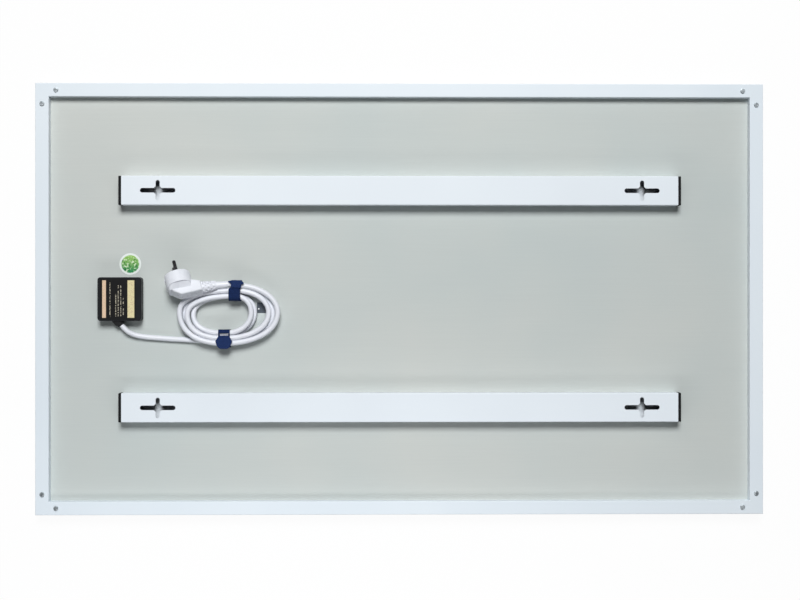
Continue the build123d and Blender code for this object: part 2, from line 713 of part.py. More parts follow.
def cord_gland():
    """Rubber bush that leads the cord out of the box at a slant: flange, neck and nose."""
    outer = GLAND_ENTRY.Y
    inner = outer + BOX_WALL
    neck = gland_core(GLAND_NECK_R) & half_space(outer - BOX_WALL, inner)
    nose = rod_along(GLAND_ENTRY - GLAND_WAY * (4 * BOX_WALL), GLAND_WAY, 4 * BOX_WALL + GLAND_REACH, GLAND_R)
    nose &= half_space(outer - BOX_SIZE, outer)
    shift = -BOX_WALL * math.tan(math.radians(GLAND_TURN))
    flange_at = Vector(GLAND_ENTRY.X + shift, inner, GLAND_ENTRY.Z)
    flange = rod_along(flange_at, Vector(0, 1, 0), GLAND_FLANGE_T, GLAND_FLANGE_R)
    body = nose + neck + flange
    bore_start = GLAND_ENTRY - GLAND_WAY * (6 * BOX_WALL)
    reach = GLAND_REACH + 7 * BOX_WALL
    return body - rod_along(bore_start, GLAND_WAY, reach, CORD_R + GLAND_BORE_CLEARANCE)


def cord_tail():
    """The sheath inside the gland and the box."""
    return rod_along(MOUTH - GLAND_WAY * TAIL_LENGTH, GLAND_WAY, TAIL_LENGTH, CORD_R)


def cord_clamp():
    """Bar that holds the cord's tail down, saddle-shaped underneath."""
    turn = Rot(0, 0, GLAND_TURN)
    seat = CORD_R - CLAMP_T / 2
    bar = Box(CLAMP_LENGTH, CLAMP_WIDTH, CLAMP_T + seat)
    saddle = Rot(90, 0, 0) * Cylinder(CORD_R + THREAD_CLEARANCE, 2 * CLAMP_WIDTH)
    bar -= Pos(0, 0, -(CLAMP_T + seat) / 2) * saddle
    for side in (-1, 1):
        bar -= Pos(side * CLAMP_SPREAD, 0, 0) * Cylinder(CLAMP_SCREW_R + SCREW_HOLE_CLEARANCE, 3 * CLAMP_T)
    return Location(clamp_centre() + Vector(0, 0, (CLAMP_T + seat) / 2)) * turn * bar


def cord_clamp_screws():
    seat = CORD_R - CLAMP_T / 2
    top = MOUTH.Z + CLAMP_T + seat
    length = CLAMP_T + seat + CLAMP_SCREW_BELOW
    screw = cross_screw(CLAMP_SCREW_HEAD_R, CLAMP_SCREW_HEAD_H, CLAMP_SCREW_R, length)
    return group([Pos(post.X, post.Y, top) * screw for post in clamp_posts()])


def eased_path(points, bend=None):
    """Straight runs joined by arcs, each as large as its two runs allow, or at most bend."""
    radii = []
    for before, here, after in zip(points, points[1:], points[2:]):
        turn = (here - before).get_angle(after - here)
        short = min((here - before).length, (after - here).length)
        radius = 0.45 * short / math.tan(math.radians(turn) / 2)
        radii.append(radius if bend is None else min(radius, bend))
    return FilletPolyline(*points, radius=radii), radii


def tube(path, radius):
    section = Plane(origin=path @ 0, z_dir=path % 0) * Circle(radius)
    return sweep(section, path=path)


def lead_route():
    points = [MOUTH, MOUTH + GLAND_WAY * LEAD_FIRST_RUN]
    points += [from_mouth(*place) for place in LEAD_POINTS]
    start = coil_start()
    points += [start - Vector(LEAD_LAST_RUN, 0, 0), start]
    return points


def cord_lead():
    path, radii = eased_path(lead_route())
    solid = tube(path, CORD_R)
    print("lead radii", [round(r, 1) for r in radii])
    print("lead length", round(path.length, 1), "volume share", volume_share(solid, path))
    return solid, path.length


def volume_share(solid, path):
    """A tube's volume over its section times its length: 1 when the sweep is sound."""
    return round(solid.volume / (math.pi * CORD_R**2 * path.length), 5)


# ---- coil --------------------------------------------------------------------------------------
def bottom_station(out, z):
    """Each station is a place, a direction and the first arc's share of the next quarter turn."""
    place = Vector(MOUTH.X + TIE_BOTTOM_X, MOUTH.Y + BOTTOM_IN - out * PITCH, z)
    return place, Vector(1, 0, 0), BEND_FROM_BOTTOM


def right_station(fan, z):
    return Vector(MOUTH.X + RIGHT_IN + fan, MOUTH.Y + RIGHT_Y, z), Vector(0, 1, 0), BEND_FROM_RIGHT


def top_station(out, z):
    way = Vector(-1, -TOP_TILT, 0).normalized()
    return Vector(MOUTH.X + TIE_TOP_X, MOUTH.Y + TOP_IN + out * PITCH, z), way, BEND_FROM_TOP


def left_station(turn, z, slope=0.0):
    place = Vector(MOUTH.X + LEFT_IN - LEFT_FAN[turn], MOUTH.Y + LEFT_Y[turn], z)
    return place, Vector(0, -1, slope).normalized(), BEND_FROM_LEFT


def coil_start():
    """The coil's lead end, with straight cord up to the first station."""
    place, way, _ = bottom_station(len(RIGHT_FAN_LOWER) - 0.5, LOWER_Z)
    return place - way * (CORD_DIA + CORD_R / 2)


def coil_stations():
    """A station for each quarter turn: in along the lower layer, up at its end, and out again."""
    stations = []
    turns = len(RIGHT_FAN_LOWER)
    for turn, fan in enumerate(RIGHT_FAN_LOWER):
        stations.append(bottom_station(turns - 0.5 - turn, LOWER_Z))
        stations.append(right_station(fan, LOWER_Z))
        stations.append(top_station(turns - 1 - turn, LOWER_Z))
        if turn < turns - 1:
            stations.append(left_station(turn, LOWER_Z))
        else:
            stations.append(left_station(turn, LOWER_Z + CLIMB_AT_LEFT, CLIMB_SLOPE))
    for turn, fan in enumerate(RIGHT_FAN_UPPER):
        stations.append(bottom_station(turn, UPPER_Z))
        stations.append(right_station(fan, UPPER_Z))
        if turn < len(RIGHT_FAN_UPPER) - 1:
            stations.append(top_station(turn, UPPER_Z))
            stations.append(left_station(turns + turn, UPPER_Z))
    way = relief_way() * -1
    stations.append((from_mouth(*RELIEF_END) - way * CORD_DIA, way, 0.0))
    return stations


def first_tangent(chord, way, end_way, bend):
    """Tangent length of the first of two arcs that turns by its share of the whole turn."""
    whole = math.radians(way.get_angle(end_way))
    first = math.radians(bend) * whole / (math.pi / 2)
    side = (end_way - way * math.cos(whole)).normalized()
    ahead = math.cos(first) - math.cos(whole)
    aside = math.sin(whole) - math.sin(first)
    across = chord.dot(side)
    divisor = math.sin(first) * ahead - (1 - math.cos(first)) * aside
    radius = (chord.dot(way) * ahead - across * aside) / divisor
    return radius * math.tan(first / 2)


def biarc(start, way, end, end_way, bend):
    """Two arcs from one place and direction to another, joined in line."""
    chord = end - start
    here = first_tangent(chord, way, end_way, bend)
    there = chord.dot(chord) / 2 - here * chord.dot(way)
    there /= chord.dot(end_way) + here * (1 - way.dot(end_way))
    corner = start + way * here
    span = end - end_way * there - corner
    joint = corner + span * (here / (here + there))
    first = Edge.make_tangent_arc(start, way, joint)
    second = Edge.make_tangent_arc(joint, span.normalized(), end)
    return [first, second]


def coil_path():
    stations = coil_stations()
    edges = [Edge.make_line(coil_start(), stations[0][0])]
    for (place, way, bend), (next_place, next_way, _) in zip(stations, stations[1:]):
        edges += biarc(place, way, next_place, next_way, bend)
    last, way, _ = stations[-1]
    edges.append(Edge.make_line(last, last + way * CORD_DIA))
    return Wire(edges)


def least_self_gap(path):
    """The least gap between turns, from points along the line at least three diameters apart on it."""
    points = []
    travelled = 0.0
    for edge in path.edges():
        for step in range(COIL_SAMPLES):
            share = step / COIL_SAMPLES
            points.append((travelled + share * edge.length, edge @ share))
        travelled += edge.length
    least = math.inf
    for i, (here, place) in enumerate(points):
        for there, other in points[i + 1 :]:
            if there - here > 3 * CORD_DIA:
                least = min(least, (place - other).length)
    return least - CORD_DIA


def cord_coil():
    path = coil_path()
    solid = tube(path, CORD_R)
    print("coil length", round(path.length, 1), "volume share", volume_share(solid, path))
    print("coil least gap to itself", round(least_self_gap(path), 3))
    return solid, path.length


# ---- ties --------------------------------------------------------------------------------------
def cord_tie(middle, low_y, high_y, high_z, head_y):
    """A strap round the bundle, its overlapping head on top with cut corners."""
    low_z = PLATE_TOP + TIE_LIFT + TIE_T
    inner_w = high_y - low_y
    inner_h = high_z - low_z
    centre_y = (low_y + high_y) / 2
    centre_z = (low_z + high_z) / 2
    outer = RectangleRounded(inner_w + 2 * TIE_T, inner_h + 2 * TIE_T, TIE_ROUND + TIE_T)
    loop = outer - RectangleRounded(inner_w, inner_h, TIE_ROUND)
    band = Plane(origin=(middle, centre_y, centre_z), x_dir=(0, 1, 0), z_dir=(1, 0, 0)) * loop
    strap = extrude(band, amount=TIE_WIDTH / 2, both=True)
    half = TIE_HEAD_WIDTH / 2
    inset = (TIE_HEAD_WIDTH - TIE_WIDTH) / 2
    y0, y1 = head_y
    mid = (y0 + y1) / 2
    outline = Polyline(
        (middle - half, mid),
        (middle - half + inset, y1),
        (middle + half - inset, y1),
        (middle + half, mid),
        (middle + half - inset, y0),
        (middle - half + inset, y0),
        close=True,
    )
    top = high_z + TIE_T
    head = Pos(0, 0, top - TIE_HEAD_T / 2) * extrude(make_face(outline), amount=TIE_HEAD_T * 1.5)
    return strap + head


def cord_tie_top():
    last = from_mouth(*RELIEF_END)
    low = MOUTH.Y + TOP_IN - CORD_R - TIE_SLACK_TOP
    high = last.Y + CORD_R + 3 * TIE_GAP
    head = (MOUTH.Y + TIE_TOP_HEAD[0], MOUTH.Y + TIE_TOP_HEAD[1])
    return cord_tie(MOUTH.X + TIE_TOP_X, low, high, last.Z + CORD_R, head)


def cord_tie_bottom():
    strands = len(RIGHT_FAN_UPPER) - 1
    low = MOUTH.Y + BOTTOM_IN - strands * PITCH - CORD_R - TIE_GAP
    high = MOUTH.Y + BOTTOM_IN + CORD_R + TIE_SLACK_BOTTOM
    head = (MOUTH.Y + TIE_BOTTOM_HEAD[0], MOUTH.Y + TIE_BOTTOM_HEAD[1])
    return cord_tie(MOUTH.X + TIE_BOTTOM_X, low, high, UPPER_Z + CORD_R + TIE_GAP, head)


# ---- plug --------------------------------------------------------------------------------------
PLUG_AT = from_mouth(*PLUG_FROM_MOUTH, PLUG_ABOVE_PLATE)
PLUG_PLACE = Location(PLUG_AT) * Rot(0, 0, PLUG_YAW) * Rot(-PLUG_DIP, 0, 0) * Rot(0, PLUG_ROLL, 0)


def along_pins(y0, y1, radius, x=0.0, z=0.0):
    """A cylinder along the pins' direction in the plug's own frame."""
    return Pos(x, (y0 + y1) / 2, z) * Rot(90, 0, 0) * Cylinder(radius, y1 - y0)


def pin_offsets():
    return (-PIN_SPACING / 2, PIN_SPACING / 2)


def plug_face():
    """The round front of the plug, flattened at the earth clips."""
    face = along_pins(-PLUG_FACE_DEPTH, 0, PLUG_FACE_R)
    face &= Box(2 * PLUG_FLAT, 4 * PLUG_FACE_DEPTH, 3 * PLUG_FACE_R)
    return fillet(face.edges().group_by(Axis.Y)[-1], PLUG_EDGE)


def plug_shoulder():
    """Slope from the round front down to the flat grip."""
    front = Plane(origin=(0, -PLUG_FACE_DEPTH + 1, 0), x_dir=(1, 0, 0), z_dir=(0, -1, 0))
    rear = Plane(origin=(0, -PLUG_FACE_DEPTH - 6, 0), x_dir=(1, 0, 0), z_dir=(0, -1, 0))
    wide = front * RectangleRounded(2 * PLUG_FLAT, 2 * PLUG_FACE_R - 3, PLUG_FACE_R - 3)
    flat = rear * RectangleRounded(2 * PLUG_FLAT - 4, 2 * PLUG_GRIP_HALF, PLUG_GRIP_HALF / 3)
    return loft([wide, flat])


def plug_grip():
    grip = extrude(make_face(Polyline(*PLUG_GRIP_OUTLINE, close=True)), amount=PLUG_GRIP_HALF, both=True)
    return chamfer(grip.edges().filter_by(Plane.XY), PLUG_EDGE)


def plug_body():
    body = plug_face() + plug_shoulder() + plug_grip()
    body -= along_pins(-BRIDGE_T - PLUG_FIT, 1, BRIDGE_R + PLUG_FIT)
    groove_x = PLUG_FLAT - CLIP_GROOVE_DEPTH / 2
    for side in (-1, 1):
        groove = Box(CLIP_GROOVE_DEPTH + 1, 2 * (CLIP_LENGTH + 1), CLIP_GROOVE)
        body -= Pos(side * (groove_x + 0.5), 0, 0) * groove
    return PLUG_PLACE * body


def plug_bridge():
    """Hard insert that carries the pins, flush with the plug's face."""
    bridge = along_pins(-BRIDGE_T, 0, BRIDGE_R)
    for z in pin_offsets():
        bridge -= along_pins(-PIN_ROOT - PLUG_FIT, 1, PIN_ROOT_R + PLUG_FIT, z=z)
    bridge -= along_pins(-EARTH_SOCKET_DEPTH, 1, EARTH_SOCKET_R, x=-EARTH_SOCKET_OFF)
    return PLUG_PLACE * bridge


def plug_pins():
    pins = []
    for z in pin_offsets():
        pin = along_pins(0, PIN_LENGTH, PIN_R, z=z)
        pin = fillet(pin.edges().filter_by(GeomType.CIRCLE).group_by(Axis.Y)[-1], PIN_TIP)
        pins.append(PLUG_PLACE * (pin + along_pins(-PIN_ROOT, 0, PIN_ROOT_R, z=z)))
    return group(pins)


def plug_earth_clips():
    """Bowed spring strips in the two side grooves."""
    seat = PLUG_FLAT - CLIP_GROOVE_DEPTH + PLUG_FIT
    crown = seat + CLIP_BULGE
    outline = Polyline(
        (seat, -CLIP_LENGTH),
        (crown, -CLIP_LENGTH * 0.6),
        (crown, -CLIP_LENGTH * 0.3),
        (seat, 0),
        (seat + CLIP_T, 0),
        (crown + CLIP_T, -CLIP_LENGTH * 0.3),
        (crown + CLIP_T, -CLIP_LENGTH * 0.6),
        (seat + CLIP_T, -CLIP_LENGTH),
        close=True,
    )
    clip = extrude(make_face(outline), amount=CLIP_WIDTH / 2, both=True)
    return group([PLUG_PLACE * clip, PLUG_PLACE * mirror(clip, Plane.YZ)])


def relief_root():
    """Middle of the grip's cord end, where the strain relief starts."""
    x = max(point[0] for point in PLUG_GRIP_OUTLINE)
    ends = [point[1] for point in PLUG_GRIP_OUTLINE if point[0] == x]
    return (PLUG_PLACE * Location((x, sum(ends) / len(ends), 0))).position


def relief_way():
    """Direction of the strain relief's tail, away from the plug."""
    return (from_mouth(*RELIEF_END) - from_mouth(*RELIEF_KNEE)).normalized()


def plug_strain_relief():
    """Slotted, tapering sleeve from the grip to the cord, with a plain tail."""
    root = relief_root()
    knee = from_mouth(*RELIEF_KNEE)
    end = from_mouth(*RELIEF_END)
    way = (knee - root).normalized()
    length = (knee - root).length
    sleeve = cone_along(root, way, length, RELIEF_START_R, RELIEF_KNEE_R)
    step = length / (RELIEF_RINGS + 0.5)
    frame = Plane(origin=root, z_dir=way)
    for ring in range(RELIEF_RINGS):
        along = step * (ring + 0.5)
        outer_r = RELIEF_START_R + (RELIEF_KNEE_R - RELIEF_START_R) * along / length
        slots = Cylinder(outer_r + 1, RELIEF_SLOT) - Cylinder(outer_r - RELIEF_SLOT_DEPTH, RELIEF_SLOT)
        for web in range(RELIEF_WEBS):
            turn = 360 / RELIEF_WEBS * (web + 0.5 * (ring % 2))
            slots -= Rot(0, 0, turn) * Pos(outer_r, 0, 0) * Box(2 * outer_r, RELIEF_WEB_WIDTH, RELIEF_SLOT)
        sleeve -= frame * Pos(0, 0, along) * slots
    sleeve += Location(knee) * Sphere(RELIEF_TAIL_R)
    sleeve += cone_along(knee, relief_way(), (end - knee).length, RELIEF_TAIL_R, RELIEF_END_R)
    half = 2 * PLUG_FACE_R
    body_side = box_between(relief_cut_x() - half, relief_cut_x(), -2 * half, half, -half, half)
    return sleeve - PLUG_PLACE * body_side


def relief_cut_x():
    return max(point[0] for point in PLUG_GRIP_OUTLINE)


# ---- inner wiring ------------------------------------------------------------------------------
def thermal_cutout():
    x = BOX_X + GROMMET_X
    block = Box(CUTOUT_WIDTH, CUTOUT_LENGTH, CUTOUT_T)
    block = fillet(block.edges().filter_by(Axis.Z), CUTOUT_T / 4)
    return Pos(x, cutout_y(), WIRE_Z) * block


def bent_wire(points, diameter=WIRE_DIA):
    path, _ = eased_path([Vector(*p) for p in points], bend=WIRE_BEND)
    return tube(path, diameter / 2)


def pole_exit(pole):
    """Where an inner wire leaves the terminal block."""
    return TERMINAL_AT_Y + INSERT_LENGTH / 2 - 1


def grommet_wire(pole, shift, sign):
    """From the terminal block over the grommet and down into the board's groove."""
    x = BOX_X + GROMMET_X + shift
    y = BOX_Y + GROMMET_Y
    start = (pole, pole_exit(pole), TERMINAL_Z)
    lead_out = (pole, TERMINAL_AT_Y + TERMINAL_DEPTH / 2 + 1.5, TERMINAL_Z)
    over = (x, y, TERMINAL_Z + 0.2)
    under = (x, y, WIRE_Z)
    turn_in = (BOX_X + GROMMET_X, y + sign * 3 * WIRE_BEND, WIRE_Z + 0.01)
    return [start, lead_out, over, under, turn_in]


def wire_live():
    x = BOX_X + GROMMET_X
    first = grommet_wire(pole_places()[1], WIRE_DIA / 2 + FIT_CLEARANCE, 1)
    first.append((x + 0.01, cutout_y() - CUTOUT_LENGTH / 2, WIRE_Z))
    drop = wire_drop(1)
    second = [(x, cutout_y() + CUTOUT_LENGTH / 2, WIRE_Z), (x, drop.Y, WIRE_Z), (x, drop.Y, FOIL_LOW)]
    return group([bent_wire(first), bent_wire(second)])


def wire_neutral():
    first = grommet_wire(pole_places()[0], -WIRE_DIA / 2 - FIT_CLEARANCE, -1)
    drop = wire_drop(-1)
    first += [(drop.X + 0.01, drop.Y, WIRE_Z), (drop.X + 0.01, drop.Y, FOIL_LOW)]
    return bent_wire(first)


def wire_earth():
    pole = pole_places()[2]
    x = BOX_X + EARTH_STUD_X
    y = BOX_Y + EARTH_STUD_Y
    out_y = TERMINAL_AT_Y + TERMINAL_DEPTH / 2 + 3
    ring_z = BOX_FLOOR + EARTH_RING_T / 2
    wire = bent_wire(
        [
            (pole, pole_exit(pole), TERMINAL_Z),
            (pole, out_y, TERMINAL_Z),
            (x - 3, out_y + 1, TERMINAL_Z - 2),
            (x, y + EARTH_RING_R + 3.2, BOX_FLOOR + WIRE_DIA / 2 + 0.2),
            (x, y + EARTH_RING_R + 0.4, BOX_FLOOR + WIRE_DIA / 2 + 0.1),
        ]
    )
    ring = rod(x, y, BOX_FLOOR, BOX_FLOOR + EARTH_RING_T, EARTH_RING_R)
    lug = box_between(x - 1.6, x + 1.6, y + 2.5, y + EARTH_RING_R + 2.4, BOX_FLOOR, ring_z + EARTH_RING_T / 2)
    eyelet = ring + lug - rod(x, y, BOX_FLOOR - 1, BOX_FLOOR + 2, EARTH_STUD_R + FIT_CLEARANCE)
    return wire + eyelet


def cord_core(index):
    """One of the cord's cores, from the sheath's end to its pole."""
    across = Vector(-GLAND_WAY.Y, GLAND_WAY.X, 0)
    side = index - (TERMINAL_POLES - 1) / 2
    start = MOUTH - GLAND_WAY * TAIL_LENGTH + across * (side * CORE_SPACING)
    pole = pole_places()[index]
    first_run = CORE_FIRST_RUN + (TERMINAL_POLES - 1 - index) * CORE_RUN_STEP
    turn_y = TERMINAL_AT_Y - TERMINAL_DEPTH / 2 - CORE_TURN_FROM_BLOCK - index * CORE_TURN_STEP
    return bent_wire(
        [
            tuple(start),
            tuple(start - GLAND_WAY * first_run),
            (pole, turn_y, TERMINAL_Z),
            (pole, TERMINAL_AT_Y - INSERT_LENGTH / 2 + 1.5, TERMINAL_Z),
        ],
        CORE_DIA,
    )


# ---- stickers ----------------------------------------------------------------------------------
def round_sticker():
    x = BOX_X + STICKER_FROM_BOX[0]
    y = BOX_Y + STICKER_FROM_BOX[1]
    return rod(x, y, PLATE_TOP, PLATE_TOP + LABEL_T, STICKER_R)


def small_label():
    width, height = SMALL_LABEL_SIZE
    x = MOUTH.X + SMALL_LABEL_FROM_MOUTH[0]
    y = MOUTH.Y + SMALL_LABEL_FROM_MOUTH[1] - height
    return box_between(x, x + width, y, y + height, PLATE_TOP, PLATE_TOP + LABEL_T)


# ---- nodes -------------------------------------------------------------------------------------
def build_nodes():
    nodes = {
        "frame_top": frame_bar(PANEL_WIDTH, HALF_H, 0),
        "frame_left": frame_bar(PANEL_HEIGHT, HALF_W, 90),
        "frame_bottom": frame_bar(PANEL_WIDTH, HALF_H, 180),
        "frame_right": frame_bar(PANEL_HEIGHT, HALF_W, 270),
        "corner_screws": corner_screws(),
        "front_plate": pack_layer(FRONT_LOW, FILM_LOW),
        "heating_film": heating_film(),
        "film_busbars": film_busbars(),
        "reflector_foil": reflector_foil(),
        "insulation_board": insulation_board(),
        "back_plate": back_plate(),
        "rail_rivets": rail_rivets(),
        "junction_box_base": junction_box_base(),
        "junction_box_lid": junction_box_lid(),
        "rating_label": rating_label(),
        "box_fixing_screws": box_fixing_screws(),
        "terminal_block": terminal_block(),
        "terminal_inserts": terminal_inserts(),
        "terminal_screws": terminal_screws(),
        "wire_grommet": wire_grommet(),
        "earth_stud": earth_stud(),
        "cord_gland": cord_gland(),
        "cord_tail": cord_tail(),
        "cord_clamp": cord_clamp(),
        "cord_clamp_screws": cord_clamp_screws(),
        "cord_tie_top": cord_tie_top(),
        "cord_tie_bottom": cord_tie_bottom(),
        "plug_body": plug_body(),
        "plug_bridge": plug_bridge(),
        "plug_pins": plug_pins(),
        "plug_earth_clips": plug_earth_clips(),
        "plug_strain_relief": plug_strain_relief(),
        "thermal_cutout": thermal_cutout(),
        "wire_live": wire_live(),
        "wire_neutral": wire_neutral(),
        "wire_earth": wire_earth(),
        "round_sticker": round_sticker(),
        "small_label": small_label(),
    }
    for name, sign in (("top", 1), ("bottom", -1)):
        nodes[f"rail_{name}"] = rail(sign * RAIL_Y)
        for side_name, side in (("left", -1), ("right", 1)):
            nodes[f"rail_cap_{name}_{side_name}"] = rail_cap(side, sign * RAIL_Y)
            nodes[f"corner_key_{name}_{side_name}"] = corner_key(side, sign)
    for index, name in enumerate(("neutral", "live", "earth")):
        nodes[f"core_{name}"] = cord_core(index)
    nodes["cord_lead"], lead_length = cord_lead()
    nodes["cord_coil"], coil_length = cord_coil()
    print("free cord length", round(lead_length + coil_length, 1))
    return nodes


for node, shape in build_nodes().items():
    export_step(shape, f"parts/{node}.step")
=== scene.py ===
"""Looks of the infrared panel heater, which lies on its front face.

Camera, light, finishes, and the pieces that bend: the cord, its gland and sleeve, and the ties.
"""

import math

import bmesh
import bpy
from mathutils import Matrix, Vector, noise


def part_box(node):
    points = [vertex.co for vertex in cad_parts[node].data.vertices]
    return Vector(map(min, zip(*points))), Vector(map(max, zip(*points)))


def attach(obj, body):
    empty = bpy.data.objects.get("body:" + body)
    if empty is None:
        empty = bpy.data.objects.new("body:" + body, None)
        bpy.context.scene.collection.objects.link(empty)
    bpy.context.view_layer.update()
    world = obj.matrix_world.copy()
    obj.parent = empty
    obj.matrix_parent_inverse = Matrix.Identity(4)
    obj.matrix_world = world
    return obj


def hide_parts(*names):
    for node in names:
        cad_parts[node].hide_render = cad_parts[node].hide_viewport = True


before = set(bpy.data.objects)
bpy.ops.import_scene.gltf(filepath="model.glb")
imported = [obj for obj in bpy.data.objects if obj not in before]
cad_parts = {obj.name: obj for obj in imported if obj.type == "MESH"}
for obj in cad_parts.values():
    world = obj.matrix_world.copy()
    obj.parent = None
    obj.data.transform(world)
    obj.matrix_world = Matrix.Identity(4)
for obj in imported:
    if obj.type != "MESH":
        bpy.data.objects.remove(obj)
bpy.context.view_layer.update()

MM = 0.001
ALONG_Y = (0, 1, 0)
ALONG_Z = (0, 0, 1)
WHITE = (1, 1, 1, 1)
PLUG_NODES = ("plug_body", "plug_bridge", "plug_pins", "plug_earth_clips", "plug_strain_relief")

# ---- camera ------------------------------------------------------------------------------------
# Lengths in millimetres, the photo's width in pixels, the yaw in degrees, the reach in metres.
PHOTO_WIDTH = 800
MM_PER_PIXEL = 1.3805
FLANGE_Z = 25.0
CAMERA_AWAY = 1900.0
CAMERA_AIM = (-0.48, -1.3)
CAMERA_YAW = -0.75
CAMERA_REACH = 20
SENSOR = 36.0


def photo_camera():
    """The photo's view from almost straight above, scaled at the height of the back flange."""
    data = bpy.data.cameras.new("photo_camera")
    data.sensor_width = SENSOR
    data.lens = SENSOR * CAMERA_AWAY / (PHOTO_WIDTH * MM_PER_PIXEL)
    data.clip_end = CAMERA_REACH
    camera = bpy.data.objects.new("photo_camera", data)
    bpy.context.collection.objects.link(camera)
    yaw = math.radians(CAMERA_YAW)
    back = Vector((math.sin(yaw), 0, math.cos(yaw))) * CAMERA_AWAY
    camera.location = (Vector((*CAMERA_AIM, FLANGE_Z)) + back) * MM
    camera.rotation_euler = (0, yaw, 0)
    bpy.context.scene.camera = camera


# ---- shader node helpers -----------------------------------------------------------------------
def make(tree, kind, links=None, values=None, **settings):
    """One node: its settings, its fixed input values and the sockets linked into it."""
    node = tree.nodes.new(kind)
    for key, value in settings.items():
        setattr(node, key, value)
    for key, value in (values or {}).items():
        node.inputs[key].default_value = value
    for key, source in (links or {}).items():
        tree.links.new(source, node.inputs[key])
    return node


def maths(tree, operation, first, second, **settings):
    """The result of a math node that works on two sockets."""
    links = {0: first, 1: second}
    return make(tree, "ShaderNodeMath", links, operation=operation, **settings).outputs[0]


def spread(tree, value, low, high, source=(0.0, 1.0)):
    """A number moved from one range into another."""
    ranges = {1: source[0], 2: source[1], 3: low, 4: high}
    return make(tree, "ShaderNodeMapRange", {"Value": value}, ranges).outputs["Result"]


def object_place(tree):
    return make(tree, "ShaderNodeTexCoord").outputs["Object"]


def noise_at(tree, place, scale, **values):
    """The strength of a noise pattern at a place, with its scale from a socket."""
    links = {"Vector": place, "Scale": scale}
    return make(tree, "ShaderNodeTexNoise", links, values).outputs["Fac"]


# ---- light and floor ---------------------------------------------------------------------------
# Each lamp: name, place, aim and size in metres, power in watts, tint.
LAMPS = (
    ("top_softbox", (0, 2.8, 4.9), (0, 0, 0), (2.0, 1.9), 280, (0.96, 0.985, 1.0)),
    ("near_softbox", (-0.1, 0.62, 0.75), (-0.08, 0.15, 0), (0.7, 0.3), 1.1, (1.0, 0.93, 0.84)),
    ("lower_fill", (-0.15, -0.62, 0.45), (-0.12, -0.2, 0), (0.9, 0.16), 1.3, (0.96, 0.98, 1.0)),
    ("under_softbox", (0.2, -0.4, -2.0), (0, 0, 0), (1.6, 1.2), 20, (1.0, 1.0, 1.0)),
)
FILL_COLOUR = (0.8, 0.91, 1.0, 1)
FILL_STRENGTH = 0.02
# Half the floor's side in metres, and how far it lies below the object in millimetres.
FLOOR_HALF = 4.0
FLOOR_DROP = 0.5
FLOOR_COLOUR = (0.92, 0.92, 0.92, 1)
FLOOR_GLOW_SHARE = 0.95


def area_lamp(name, place, aim, size, power, tint):
    data = bpy.data.lights.new(name, "AREA")
    data.shape = "RECTANGLE"
    data.size, data.size_y = size
    data.energy = power
    data.color = tint
    lamp = bpy.data.objects.new(name, data)
    bpy.context.collection.objects.link(lamp)
    lamp.location = place
    lamp.rotation_euler = (Vector(aim) - Vector(place)).to_track_quat("-Z", "Y").to_euler()


def studio_light():
    """A far softbox above the upper side, a nearer one, a low one at the lower side, one below."""
    for lamp in LAMPS:
        area_lamp(*lamp)


def seen_rays(tree):
    """1 for rays that look at the background: straight, mirrored or through glass."""
    path = make(tree, "ShaderNodeLightPath")
    first = maths(tree, "MAXIMUM", path.outputs["Is Camera Ray"], path.outputs["Is Glossy Ray"])
    return maths(tree, "MAXIMUM", first, path.outputs["Is Transmission Ray"])


def studio_world():
    """A weak bluish fill as light, and plain white wherever the background is seen."""
    world = bpy.data.worlds.new("studio")
    world.use_nodes = True
    bpy.context.scene.world = world
    tree = world.node_tree
    tree.nodes.clear()
    look = {"Color": FILL_COLOUR, "Strength": FILL_STRENGTH}
    fill = make(tree, "ShaderNodeBackground", values=look)
    white = make(tree, "ShaderNodeBackground", values={"Color": WHITE, "Strength": 1.0})
    links = {0: seen_rays(tree), 1: fill.outputs[0], 2: white.outputs[0]}
    mix = make(tree, "ShaderNodeMixShader", links)
    make(tree, "ShaderNodeOutputWorld", {"Surface": mix.outputs[0]})


def studio_floor():
    """A large white floor that keeps a faint shadow.

    Sight from below and the light of the lamps pass through it.
    """
    shape = bmesh.new()
    bmesh.ops.create_grid(shape, x_segments=1, y_segments=1, size=FLOOR_HALF)
    bmesh.ops.translate(shape, vec=(0, 0, -FLOOR_DROP * MM), verts=shape.verts)
    floor = finish_mesh("floor", shape)
    material, tree, shader = new_material("floor_white", Base_Color=FLOOR_COLOUR, Roughness=0.9)
    glow = make(tree, "ShaderNodeEmission", values={"Color": WHITE})
    share = make(
        tree, "ShaderNodeMath", {0: seen_rays(tree)}, {1: FLOOR_GLOW_SHARE}, operation="MULTIPLY"
    )
    links = {0: share.outputs[0], 1: shader.outputs[0], 2: glow.outputs[0]}
    lit = make(tree, "ShaderNodeMixShader", links)
    clear = make(tree, "ShaderNodeBsdfTransparent")
    sides = make(tree, "ShaderNodeNewGeometry")
    rays = make(tree, "ShaderNodeLightPath")
    unseen = maths(tree, "MAXIMUM", sides.outputs["Backfacing"], rays.outputs["Is Shadow Ray"])
    through = make(
        tree, "ShaderNodeMixShader", {0: unseen, 1: lit.outputs[0], 2: clear.outputs[0]}
    )
    tree.links.new(through.outputs[0], tree.nodes["Material Output"].inputs["Surface"])
    floor.data.materials.append(material)


# ---- shared pattern groups ---------------------------------------------------------------------
def new_group(name, inputs, outputs):
    """A shader node group with named number, colour or vector sockets."""
    tree = bpy.data.node_groups.new(name, "ShaderNodeTree")
    kinds = {"number": "NodeSocketFloat", "colour": "NodeSocketColor", "vector": "NodeSocketVector"}
    for label, kind, value in inputs:
        socket = tree.interface.new_socket(label, in_out="INPUT", socket_type=kinds[kind])
        socket.default_value = value
    for label, kind in outputs:
        tree.interface.new_socket(label, in_out="OUTPUT", socket_type=kinds[kind])
    return tree, tree.nodes.new("NodeGroupInput"), tree.nodes.new("NodeGroupOutput")


